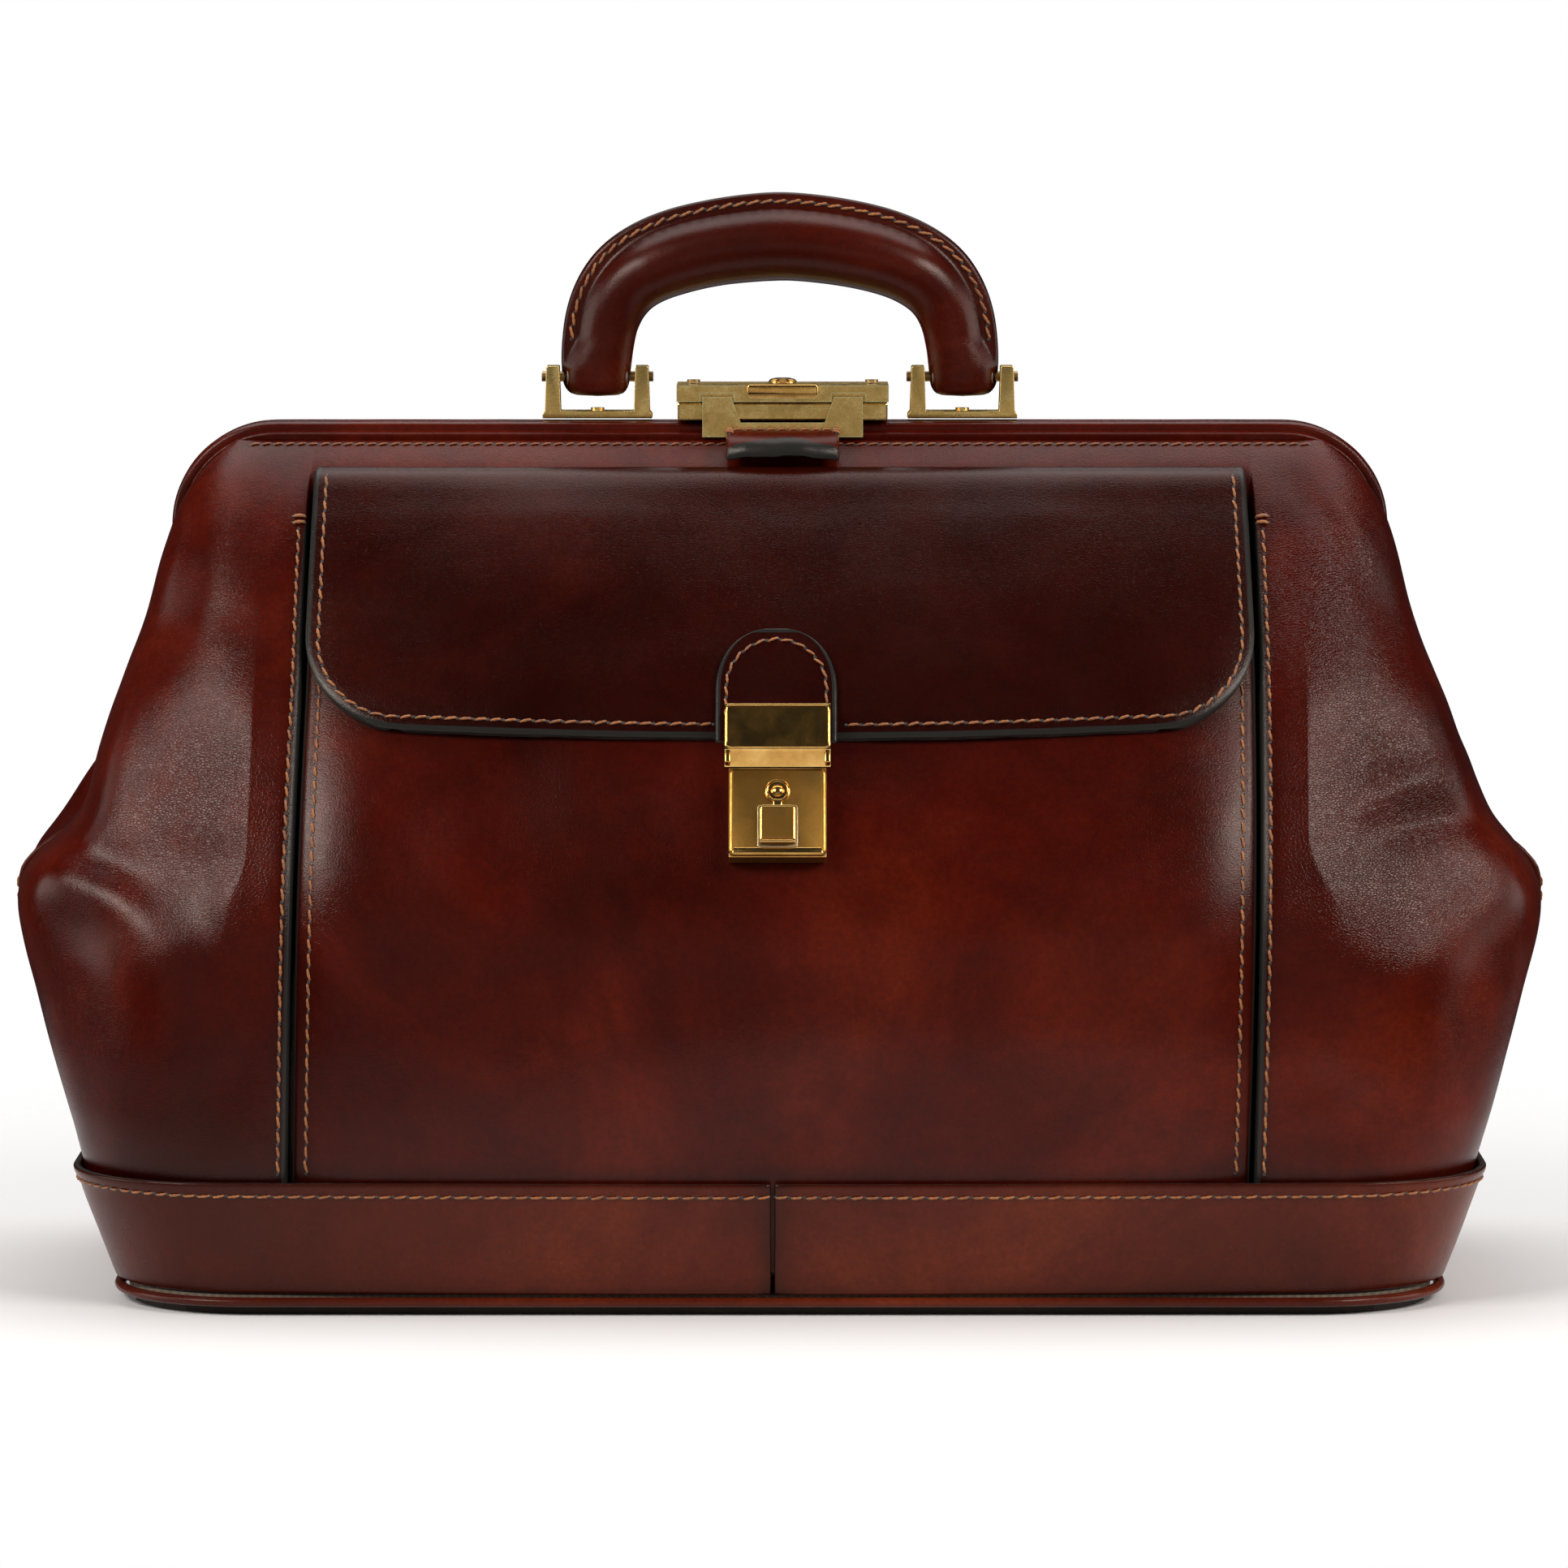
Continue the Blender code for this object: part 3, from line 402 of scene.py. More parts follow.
def round_off(obj, looks, subdivide=True):
    """Store the looks that vary over a piece, such as painted shade in dark or a painted highlight, and add
    its rounding.
    """
    for key, values in looks.items():
        layer = obj.data.attributes.new(key, "FLOAT", "POINT")
        layer.data.foreach_set("value", np.clip(values, 0, 1).reshape(-1).astype(np.float32))
    if subdivide:
        sub = obj.modifiers.new("rounding", "SUBSURF")
        sub.levels = 1
        sub.render_levels = 1
    return obj


def grid_normals(grid):
    normal = np.cross(np.gradient(grid, axis=0), np.gradient(grid, axis=1))
    return normal / np.maximum(np.linalg.norm(normal, axis=2, keepdims=True), 1e-9)


def away(grid):
    """Outward directions of a shell round the vertical axis."""
    return grid * np.array([1.0, 1.0, 0.0])


def outward_normals(grid):
    normal = grid_normals(grid)
    return -normal if np.sum(normal * away(grid)) < 0 else normal


def sheet_piece(name, grid, thick, mats, out, **looks):
    """A sheet with real thickness and rounded, painted rims, from a grid of its outer points."""
    rows, cols = grid.shape[:2]
    faces = [(a, a + cols, a + cols + 1, a + 1)
             for i in range(rows - 1) for a in range(i * cols, (i + 1) * cols - 1)]
    if np.sum(grid_normals(grid) * out) < 0:
        faces = [face[::-1] for face in faces]
    obj = mesh_object(name, grid.reshape(-1, 3), faces, mats)
    solid = obj.modifiers.new("thickness", "SOLIDIFY")
    solid.thickness = thick * MM
    solid.offset = -1.0
    solid.material_offset_rim = len(mats) - 1
    return bake(round_off(obj, looks))


def tube_piece(name, rings, mats, closed=False, subdivide=True, **looks):
    """A closed tube through rings of points, with rounded ends unless it joins up with itself."""
    rings = np.asarray(rings, float)
    count, size = rings.shape[:2]
    faces = []
    for k in range(count if closed else count - 1):
        low, high = k * size, (k + 1) % count * size
        for j in range(size):
            b = (j + 1) % size
            faces.append((low + j, low + b, high + b, high + j))
    if not closed:
        faces += [tuple(range(size - 1, -1, -1)), tuple(range((count - 1) * size, count * size))]
    obj = mesh_object(name, rings.reshape(-1, 3), faces, mats)
    flip_if_inside_out(obj)
    return bake(round_off(obj, looks, subdivide))


def flip_if_inside_out(obj):
    work = bmesh.new()
    work.from_mesh(obj.data)
    bmesh.ops.recalc_face_normals(work, faces=work.faces)
    if work.calc_volume(signed=True) < 0:
        bmesh.ops.reverse_faces(work, faces=work.faces)
    work.to_mesh(obj.data)
    work.free()


def ellipse_ring(centre, u, v, radius_u, radius_v, count):
    turn = np.linspace(0, 2 * np.pi, count, endpoint=False)
    return centre + np.outer(np.cos(turn) * radius_u, u) + np.outer(np.sin(turn) * radius_v, v)


def bead(name, path, count, up, wide, high, mat, subdivide=False, wobble=0.0):
    """A rounded bead along a closed flat path; `up` is square to the path's plane."""
    path = resample(np.vstack([path, path[:1]]), count + 1)[:-1]
    rings = []
    for k, p in enumerate(path):
        ahead = path[(k + 1) % count] - path[k - 1]
        ahead /= np.linalg.norm(ahead)
        swell = 1.0 + wobble * ripple(p, 9.0, 3.0)
        rings.append(ellipse_ring(p, np.cross(ahead, up), up, wide * swell, high, 10))
    return tube_piece(name, rings, [mat], closed=True, subdivide=subdivide)


def rounded_outline(half_a, half_b, radius, centre=(0.0, 0.0), steps=5):
    outline = []
    for quarter, (sa, sb) in enumerate([(1, 1), (-1, 1), (-1, -1), (1, -1)]):
        for k in range(steps + 1):
            turn = math.radians(90 * quarter + 90 * k / steps)
            outline.append((centre[0] + sa * (half_a - radius) + radius * math.cos(turn),
                            centre[1] + sb * (half_b - radius) + radius * math.sin(turn)))
    return outline


def surface(obj):
    bpy.context.view_layer.update()
    return BVHTree.FromObject(obj, bpy.context.evaluated_depsgraph_get())


def place(obj, body, slot, *replaced):
    """Fix a piece to its body; a mouth piece is left unattached, with its transform baked in."""
    if body == MOUTH:
        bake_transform(obj)
    else:
        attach(obj, body)
    if replaced:
        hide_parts(*replaced)


def place_brown(body, *pieces):
    for piece in pieces:
        place(piece, body, "leather_brown")


# ---------------------------------------------------------------- stitches

RING_AT = np.linspace(-1.0, 1.0, 8)
RING_SIZE = np.array([0.45, 0.85, 0.98, 1.0, 1.0, 0.98, 0.85, 0.45])
RING_SIDES = 8
TURNS = np.linspace(0, 2 * np.pi, RING_SIDES, endpoint=False)
HOLE_RINGS = ((-0.35, 0.5), (0.05, 1.0), (0.09, 0.55))


def ringed_body(rings, start):
    """Faces of one small closed body, made of rings of points and an end cap on each."""
    faces = []
    for low in range(start, start + (rings - 1) * RING_SIDES, RING_SIDES):
        for j in range(RING_SIDES):
            a, b = low + j, low + (j + 1) % RING_SIDES
            faces.append((a, b, b + RING_SIDES, a + RING_SIDES))
    last = start + (rings - 1) * RING_SIDES
    return faces + [tuple(range(start + RING_SIDES - 1, start - 1, -1)),
                    tuple(range(last, last + RING_SIDES))]


def thread_rings(p, n, t, b, length, radius, slant, lift):
    """One stitch. Its two twisted strands show as a slanting ridge along it."""
    turn = math.radians(slant + rng.normal(0, 3.0))
    run = t * math.cos(turn) + b * math.sin(turn)
    side = np.cross(n, run)
    half = 0.5 * length * (1 + rng.normal(0, 0.04))
    rings = []
    for at, size in zip(RING_AT, RING_SIZE):
        centre = p + run * (at * half) + n * (radius * (0.75 - 1.25 * at ** 4) + lift)
        twist = radius * size * (1 + 0.2 * np.sin(2 * TURNS - 7.5 * at))
        rings.append(centre + np.outer(twist * np.cos(TURNS), side)
                     + np.outer(0.85 * twist * np.sin(TURNS), n))
    return rings


# A small dark body at a needle hole, painting the hole's shade.
def hole_rings(p, n, t, b):
    around = 0.75 * (np.outer(0.85 * np.cos(TURNS), t) + np.outer(0.6 * np.sin(TURNS), b))
    return [p + n * height + around * size for height, size in HOLE_RINGS]


def stitches(name, rows, base, thread=None, pitch=4.3, length=3.5, radius=0.38, slant=10.0, lift=0.08):
    """Rows of slanted thread stitches on a surface, each between two needle holes, made as small dark bodies
    that paint the holes' shade.
    """
    tree = surface(base)
    verts, faces, kinds = [], [], []
    for path in rows:
        path = np.asarray(path, float)
        total = np.linalg.norm(np.diff(path, axis=0), axis=1).sum()
        last = 2 * max(1, int(round(total / pitch)))
        found = [tree.find_nearest(Vector(p) * MM) for p in resample(path, last + 1)]
        spots = np.array([f[0] for f in found]) / MM
        normals = np.array([f[1] for f in found])
        # Stitches sit at the odd places, and the holes between them at the even ones.
        for k in [*range(1, last, 2), *range(0, last + 1, 2)]:
            n = normals[k]
            t = spots[min(k + 1, last)] - spots[max(k - 1, 0)]
            t = t - n * np.dot(t, n)
            t /= max(np.linalg.norm(t), 1e-9)
            b = np.cross(n, t)
            if k % 2:
                rings = thread_rings(spots[k], n, t, b, length, radius, slant, lift)
            else:
                rings = hole_rings(spots[k], n, t, b)
            made = ringed_body(len(rings), len(verts))
            verts.extend(np.concatenate(rings))
            faces += made
            kinds += [1 - k % 2] * len(made)
    obj = mesh_object(name, verts, faces, [thread or THREAD, HOLE_SHADE])
    obj.data.polygons.foreach_set("material_index", kinds)
    return obj


# ---------------------------------------------------------------- the leather shell

WALL_ROWS = np.concatenate([[10.0, 24.0, 36.0], np.arange(40.0, 236.0, 3.4),
                            [237.0, 240.0, 242.4, 244.0, HEM_Z]])
SIDE_COUNTS = (9, 17, 9, 9)
NEAR = (0.0, 0.7, 2.0, 4.0, 7.5, 12.0)
SIDE_COLUMNS = len(NEAR) + sum(SIDE_COUNTS)
FACET_END = 0.62


def shoulder_slip(z, front, sign):
    """How far the left shoulder sits in or out from the symmetric shape."""
    if sign > 0:
        return 0.0
    slip = [0.0, -0.8, -2.6, -4.6, 0.0] if front else [0.0, 2.8, 3.2, 3.2, 0.0]
    return np.interp(z, [112, 121, 129, 138, 156], slip)


def fold_edge(z, width, inset=0.0):
    """How far out the side's inward fold ends; higher up it meets the frame's arms."""
    fold_x = width - fold_table(FOLD_IN, z)
    ends = min(width, 172.0 - inset) if z < 226 else width
    return fold_x + (ends - fold_x) * np.interp(z, [181, 186], [0, 1])


def half_line(z, inset, start, near, slip=0.0):
    """Plan outline of one side: from the front seam round the corner and into the side fold."""
    width = half_width(z) - inset + slip
    fold_y = fold_table(FOLD_Y, z) + inset * 0.3
    edge = max(fold_table(EDGE_Y, z) + inset * 0.5, fold_y + 0.3)
    fold_x = fold_edge(z, width, inset)
    room = depth_at(width, z, inset) - edge
    widening = np.interp(z, [55, 112], [0, 1])
    first = start + near[-1]
    across = max(0.4, min(CORNER_RADIUS + 20.0 * widening, width - first - 1.5))
    deep = max(0.4, min(CORNER_RADIUS + 10.0 * widening, 0.86 * room))
    corner = width - across
    run, arc, side, fold = SIDE_COUNTS
    xs = [start + d for d in near] + [first + (corner - first) * k / run for k in range(1, run + 1)]
    line = [(x, depth_at(x, z, inset)) for x in xs]
    top = depth_at(corner, z, inset)
    low = top - deep
    # Higher up, the corner is a flat facet turned outwards, then a tighter turn into the side.
    facet = np.interp(z, [98, 122, 164, 190], [0, 1, 1, 0]) * np.interp(room, [8, 20], [0, 1])
    reach = 0.80 * across
    drop = min(0.36 * reach, 0.5 * deep)
    for k in range(1, arc + 1):
        t = k / arc
        turn = math.radians(90 * t)
        round_x, round_y = corner + across * math.sin(turn), low + deep * math.cos(turn)
        if t < FACET_END:
            u = t / FACET_END
            flat_x = corner + reach * u
            flat_y = top - drop * (u + 0.12 * math.sin(math.pi * u) * (0.5 - u))
        else:
            turn = math.radians(90 * (t - FACET_END) / (1 - FACET_END))
            flat_x = corner + reach + (across - reach) * math.sin(turn)
            flat_y = low + (deep - drop) * math.cos(turn)
        line.append((round_x + (flat_x - round_x) * facet, round_y + (flat_y - round_y) * facet))
    line += [(width, low + (edge - low) * k / side) for k in range(1, side + 1)]
    return line + [(width + (fold_x - width) * k / fold, edge + (fold_y - edge) * k / fold)
                   for k in range(1, fold + 1)]


def both_sides(z, front, inset, start, near):
    """The left and the right side line of one row."""
    return [[(sign * x, y) for x, y in half_line(z, inset, begin, near, shoulder_slip(z, front, sign))]
            for sign, begin in zip((-1, 1), start)]


def wall_grid(front):
    """Grid of one whole shell: left fold, front or rear, right fold."""
    grid = []
    for z in WALL_ROWS:
        lo, hi = seam_x(z, -1, front), seam_x(z, 1, front)
        left, right = both_sides(z, front, 0.0, (-lo, hi), NEAR)
        xs = np.concatenate([[lo + 0.5, lo + 1.6], np.linspace(lo + 6, hi - 6, 41), [hi - 1.6, hi - 0.5]])
        back = pocket_inset(z) if front else 0.0
        line = left[::-1] + [(x, depth_at(x, z, back)) for x in xs] + right
        grid.append([(x, -y if front else y, z) for x, y in line])
    return np.array(grid)


def relax(grid, keep):
    """Smooth a grid's sharp turns, except at kept columns and at its rim."""
    for _ in range(4):
        soft = grid.copy()
        soft[1:-1, 1:-1] = (grid[1:-1, 1:-1] * 0.5 + (grid[:-2, 1:-1] + grid[2:, 1:-1]
                            + grid[1:-1, :-2] + grid[1:-1, 2:]) * 0.125)
        soft[:, keep] = grid[:, keep]
        grid = soft
    return grid


def relief(x, z, creases, bulges):
    return sum(crease(x, z, *values) for values in creases) + sum(bulge(x, z, *values) for values in bulges)


def fold_shade(y, z):
    """Darkening in the side fold and just above the band."""
    shade = np.interp(np.abs(y), [2, 14], [0.9, 0.0]) * np.interp(z, [116, 130, 200, 215], [0.3, 1, 1, 0])
    return shade + peak(z - BAND_TOP, 3.0) * 0.7


# Each crease is its line's (x, z) points, its width and its height; each bulge is its middle,
# its radii, its height and its turn.
FRONT_CREASES = [
    # Left: a soft roll over the shoulder with a curling furrow above it, and upright folds.
    ([(-200, 132), (-191, 128.5), (-181, 122), (-173, 109)], 3.0, -1.3),
    ([(-222, 123), (-205, 122), (-188, 117), (-171, 108)], 7.0, 2.4),
    ([(-201, 102), (-198, 76), (-196, 46)], 6.0, -1.1),
    ([(-168, 215), (-172, 200), (-180, 186)], 5.0, -1.1),
    # Right: a ridge and a furrow under it run in from the shoulder; a dimpled upper corner.
    ([(164, 144), (182, 149), (200, 155)], 5.0, 1.3),
    ([(170, 137), (188, 140.5), (207, 138)], 4.6, -2.4),
    ([(146, 234), (158, 222), (168, 206), (176, 188)], 3.6, -0.8),
    ([(160, 226), (170, 214), (173, 203)], 2.6, 0.7),
    ([(203, 108), (199, 80), (195, 50)], 7.0, -1.0),
    ([(212, 124), (200, 121), (188, 112)], 5.0, -1.0)]
FRONT_BULGES = [(-166, 112, 6, 26, -1.0, 0.1), (-176, 84, 12, 30, 1.1), (183, 170, 14, 16, 0.9, -0.4)]
CREASED_SPOTS = [(160, 205, 30, 34, 0.9, -0.5), (176, 148, 26, 22, 1.0), (-165, 145, 26, 26, 0.8),
                 (170, 118, 30, 16, 0.7)]
REAR_CREASES = [([(-214, 130), (-200, 135), (-186, 126), (-176, 112)], 5.0, -1.9),
                ([(214, 128), (203, 134), (187, 130), (174, 118)], 5.0, -1.8),
                ([(-200, 106), (-197, 76), (-194, 46)], 6.5, -1.0),
                ([(201, 100), (198, 74), (196, 50)], 6.5, -1.0)]
REAR_BULGES = [(-187, 158, 12, 26, -2.0, 0.2), (187, 160, 12, 24, -2.0, -0.2), (0, 110, 90, 40, 1.2)]


def build_front_wall():
    grid = wall_grid(True)
    grid = relax(grid, slice(SIDE_COLUMNS - 4, 4 - SIDE_COLUMNS))
    normal = outward_normals(grid)
    x, y, z = np.moveaxis(grid, -1, 0)
    fade = np.interp(z, [34, 50, 234, 243], [0, 1, 1, 0]) * np.interp(np.abs(x), [139, 150], [0, 1])
    grid = grid + normal * (relief(x, z, FRONT_CREASES, FRONT_BULGES) * fade)[..., None]
    grid = ripples(grid, normal * fade[..., None], 34.0, 0.9, 3.1)
    grid = ripples(grid, normal * fade[..., None], 13.0, 0.3, 8.4)
    # The seam edges beside the pocket roll back, and are pressed by the thread.
    step = np.clip(pocket_inset(z) / 10.0, 0, 1)
    for sign in (-1, 1):
        off = sign * (x - seam_x(z, sign))
        pressed = 1.5 * peak(np.maximum(off, 0), 1.3) + 0.35 * peak(off - 2.4, 1.0)
        grid[..., 1] += np.where(off > -0.3, pressed, 0.0) * step
    grid[..., 1] += np.interp(z, [242.0, 243.2, 244.8], [0.0, 0.3, 0.0])
    gap = np.minimum(np.abs(x - seam_x(z, -1)), np.abs(x - seam_x(z, 1)))
    # Painted shade: darker in the seam gaps beside the pocket, in the side folds, just above the band, and in
    # the inset above the pocket that the flap's top covers.
    dark = peak(gap, 3.5) * step * 0.8 + fold_shade(y, z)
    dark += np.where(np.abs(x) < 135.5, 0.85, 0.0) * np.interp(z, [222, 233], [1, 0])
    return sheet_piece("front_wall_leather", grid, LEATHER, [BODY, PAINT], away(grid), dark=dark,
                       rim=np.clip(1.0 - (gap - 0.2) / 4.0, 0, 1) * step,
                       creased=relief(x, z, [], CREASED_SPOTS))


def build_rear_wall():
    grid = relax(wall_grid(False), slice(0, 0))
    normal = outward_normals(grid)
    x, y, z = np.moveaxis(grid, -1, 0)
    height = relief(x, z, REAR_CREASES, REAR_BULGES)
    fade = np.interp(z, [34, 50, 234, 243], [0, 1, 1, 0])
    for seam in (-SEAM_X, SEAM_X):
        height -= 1.3 * peak(x - seam, 1.3) / np.maximum(fade, 0.2)
    grid = grid + normal * (height * fade)[..., None]
    grid = ripples(grid, normal * fade[..., None], 38.0, 0.9, 11.3)
    grid = ripples(grid, normal * fade[..., None], 14.0, 0.25, 5.4)
    # Painted shade: darker in the two seam grooves and in the side folds.
    dark = peak(np.abs(x) - SEAM_X, 2.0) * 0.9 + fold_shade(y, z)
    return sheet_piece("rear_wall_leather", grid, LEATHER, [BODY, PAINT], away(grid), dark=dark)


def wall_lines(front):
    """Stitch rows beside the upright seams of one wall."""
    z = np.arange(40.5, 223.0 if front else 240.0, 3.0)
    rows = []
    for sign in (-1, 1):
        for offset in (2.4,) if front else (2.6, -3.2):
            x = seam_x(z, sign, front) + sign * offset
            rows.append(points(x, (depth_at(x, z) + 0.6) * (-1 if front else 1), z))
    return rows


def tack_lines():
    """Two short bars across the top of each front seam."""
    rows = []
    for sign in (-1, 1):
        for z in (222.2, 223.9):
            x = seam_x(z, sign) + sign * 2.2
            depth = depth_at(x, z) + 0.8
            rows.append([(x - 1.9, -depth, z), (x + 1.9, -depth, z)])
    return rows


def build_shell():
    for side, body, build, panels in (
            ("front", "bag", build_front_wall, ("front_centre_panel", "front_side_left", "front_side_right")),
            ("rear", MOUTH, build_rear_wall, ("rear_centre_panel", "rear_side_left", "rear_side_right",
                                              "rear_upper_panel"))):
        front = side == "front"
        wall = build()
        seams = stitches(side + "_wall_stitching", wall_lines(front), wall)
        z = HEM_Z - 1.3
        hem = points(np.linspace(-154, 154, 90), (half_depth(z) + 0.6) * (-1 if front else 1), z)
        threads = [seams, stitches(side + "_hem_stitching", [hem], wall, THREAD_DARK, 3.4, 2.9, 0.3, 12.0)]
        if front:
            threads.append(stitches("front_bar_tacks", tack_lines(), wall, THREAD, 3.8, 3.8, 0.55, 4.0))
        place(wall, body, "leather_brown", *panels)
        place_brown(body, *threads)


# ---------------------------------------------------------------- pocket and flap

def build_pocket():
    grid = []
    near = np.array([0.0, 0.6, 2.0, 4.0, 6.5])
    for z in np.concatenate([[10.0, 26.0, 36.0], np.arange(40.0, 219.0, 4.5),
                             [220.4, POCKET_TOP - 0.4, POCKET_TOP]]):
        left, right = seam_x(z, -1) + 0.95, seam_x(z, 1) - 0.95
        x = np.concatenate([left + near, np.linspace(left + 11, right - 11, 49), right - near[::-1]])
        edge = np.minimum(x - left, right - x)
        back = (2.6 * np.maximum(0.0, 1 - edge / 20.0) ** 2 + 1.3 * peak(edge, 1.1)
                + 0.35 * peak(edge - 3.9, 1.0))
        grid.append(points(x, back - depth_at(x, z), z))
    grid = np.array(grid)
    normal = np.zeros_like(grid) + np.array([0.0, -1.0, 0.0])
    x, z = grid[..., 0], grid[..., 2]
    fade = np.interp(z, [36, 56, 200, 220], [0, 1, 1, 0]) * np.interp(np.abs(x), [122, 134], [1, 0.2])
    grid = ripples(grid, normal * fade[..., None], 60.0, 1.3, 1.7)
    grid = ripples(grid, normal * fade[..., None], 21.0, 0.32, 6.2)
    grid[..., 1] -= bulge(x, z, 10, 95, 95, 42, 1.6) * fade
    edge = np.minimum(x - x[:, :1], x[:, -1:] - x)
    # Painted shade: darker at the rolled edges beside the seam gaps, just above the band, and where the flap
    # covers the pocket.
    dark = peak(edge, 2.2) * 0.7 + peak(z - BAND_TOP, 3.0) * 0.6 + np.interp(z, [161, 166], [0.0, 0.35])
    pocket = sheet_piece("pocket_leather", grid, LEATHER, [BODY, PAINT], normal, dark=dark,
                         rim=np.clip(1.0 - (edge - 0.1) / 2.4, 0, 1))
    z = np.arange(40.5, 219.0, 3.0)
    lines = [points(seam_x(z, sign) - sign * 4.8, -depth_at(seam_x(z, sign) - sign * 4.8, z) - 0.2, z)
             for sign in (-1, 1)]
    rows = stitches("pocket_stitching", lines, pocket)
    x = np.linspace(-128, 128, 70)
    mouth = stitches("pocket_mouth_stitching", [points(x, -depth_at(x, 218.6), 218.6)], pocket, THREAD_DARK)
    place(pocket, "bag", "leather_brown", "pocket_front")
    place_brown("bag", rows, mouth)


def build_pocket_gussets():
    """Narrow strips that close the pocket's sides, folded inwards."""
    t = np.linspace(0, 1, 7)
    for side, sign in SIDES:
        grid = []
        for z in np.arange(12.0, POCKET_TOP - 1, 7.0):
            x = seam_x(z, sign) - sign * 2.2
            y0 = LEATHER * lean(z) + 2.4 - depth_at(x, z)
            y1 = max(-depth_at(x, z, pocket_inset(z)) - 0.5, y0 + 1.0)
            grid.append(points(x - sign * 2.4 * np.sin(np.pi * t) ** 2, y0 + (y1 - y0) * t, z))
        grid = np.array(grid)
        # Painted shade: the strips are darker all over, as they sit deep in the gaps beside the pocket.
        gusset = sheet_piece("pocket_gusset_" + side, grid, 1.2, [BODY, PAINT], np.array([sign, 0.0, 0.0]),
                             dark=np.full(grid.shape[:2], 0.6))
        place(gusset, "bag", "leather_brown", "pocket_side_" + side)


def flap_half(z):
    return np.interp(z, [FLAP_LOW + FLAP_RISE, FLAP_TOP], [FLAP_HALF, 134.6])


def bowed(x, z):
    """Height on the flap's bowed bottom; the bow fades out above it."""
    return z + FLAP_BOW * (x / 110.0) ** 2 * np.interp(z, [FLAP_LOW, FLAP_LOW + 40], [1.0, 0.0])


def flap_outline():
    """Rows of the flap: height at its edge, and half width."""
    rows = []
    for turn in [0, 3.4, *np.linspace(0, 90, 13)[1:]]:
        t = math.radians(turn)
        rise = 0.12 if turn == 3.4 else FLAP_RISE * (1 - math.cos(t))
        rows.append((FLAP_LOW + rise, FLAP_HALF - FLAP_CORNER * (1 - math.sin(t))))
    rows += [(z, flap_half(z)) for z in np.linspace(FLAP_LOW + 31.0, FLAP_TOP - 3.0, 17)]
    return rows + [(FLAP_TOP - 1.8, 134.5), (FLAP_TOP - 0.7, 134.2), (FLAP_TOP - 0.1, 133.7)]


def edge_distance(x, z, outline):
    """Distance in the front view from points to the flap's sides and bottom."""
    bottom = [(u, bowed(u, FLAP_LOW)) for u in np.linspace(0, outline[0][1], 40)]
    line = resample(bottom + [(half, bowed(half, height)) for height, half in outline], 220)
    best = np.full(np.shape(x), 1e9)
    for px, pz in line:
        best = np.minimum(best, (np.abs(x) - px) ** 2 + (z - pz) ** 2)
    return np.sqrt(best)


def flap_surface(x, z, above=0.0):
    """Front of the flap: it lies on the pocket and rolls back into the wall at its top."""
    roll = np.interp(z, [228, 233.5, 236.2, FLAP_TOP], [0.0, -0.9, -0.6, 1.9])
    return roll - depth_at(x, z) - (0.45 + FLAP_THICK + above) * lean(z)


def flap_stitch_line():
    """The flap's stitch row, a little inside its edge, from the left top to the right top."""
    inset = 3.9
    left = [(inset - flap_half(z), z) for z in np.arange(FLAP_TOP - 2.4, FLAP_LOW + FLAP_RISE, -4.0)]
    for turn in np.linspace(88, 0, 14):
        t = math.radians(turn)
        bow = 0.8 * FLAP_BOW * (118 / 110.0) ** 2 * (1 - turn / 88.0) ** 0.5
        left.append((FLAP_CORNER - FLAP_HALF - (FLAP_CORNER - inset) * math.sin(t),
                     FLAP_LOW + FLAP_RISE - (FLAP_RISE - inset) * math.cos(t) + bow))
    bottom = [(x, FLAP_LOW + inset + FLAP_BOW * (x / 110.0) ** 2) for x in np.linspace(-102, 102, 50)]
    x, z = np.array(left + bottom + [(-x, z) for x, z in reversed(left)]).T
    return points(x, flap_surface(x, z) - 0.3, z)


def build_flap():
    outline = flap_outline()
    us = np.concatenate([[-1, -0.994], np.linspace(-0.972, 0.972, 53), [0.994, 1]])
    grid = []
    for z, half in outline:
        x = us * half
        grid.append(points(x, flap_surface(x, bowed(x, z)), bowed(x, z)))
    grid = np.array(grid)
    out = np.zeros_like(grid) + np.array([0.0, -1.0, 0.4])
    x, z = grid[..., 0], grid[..., 2]
    fade = np.interp(z, [FLAP_LOW, 172, 225, 234], [0.3, 1, 1, 0])
    grid = ripples(grid, out * fade[..., None], 70.0, 1.0, 2.6)
    grid = ripples(grid, out * fade[..., None], 24.0, 0.28, 9.9)
    edge = edge_distance(x, z, outline)
    grid[..., 1] += 0.4 * peak(edge - 3.9, 0.9) + 1.1 * peak(edge, 1.3)
    # Painted shade where the top rolls back into the wall, and a painted highlight along the fold at its top;
    # the flap is also darker near its edges.
    flap = sheet_piece("flap_leather", grid, FLAP_THICK, [SHADED_FLAP, PAINT], out,
                       dark=peak(edge, 2.0) * 0.55 + np.interp(z, [234.5, 236.5], [0.0, 0.15]),
                       worn=peak(z - 235.2, 1.3) * 0.3, rim=np.clip(1.0 - edge / 5.0, 0, 1))
    row = flap_stitch_line()
    middle = len(row) // 2
    first = [p for p in row[:middle + 8] if p[0] < -17.5]
    last = [p for p in row[middle - 8:] if p[0] > 15.5]
    rows = stitches("flap_stitching", [first, last], flap)
    patch, patch_rows = build_flap_patch()
    place(flap, "flap", "leather_brown", "pocket_flap")
    place(patch, "flap", "leather_brown", "flap_patch")
    place_brown("flap", rows, patch_rows)


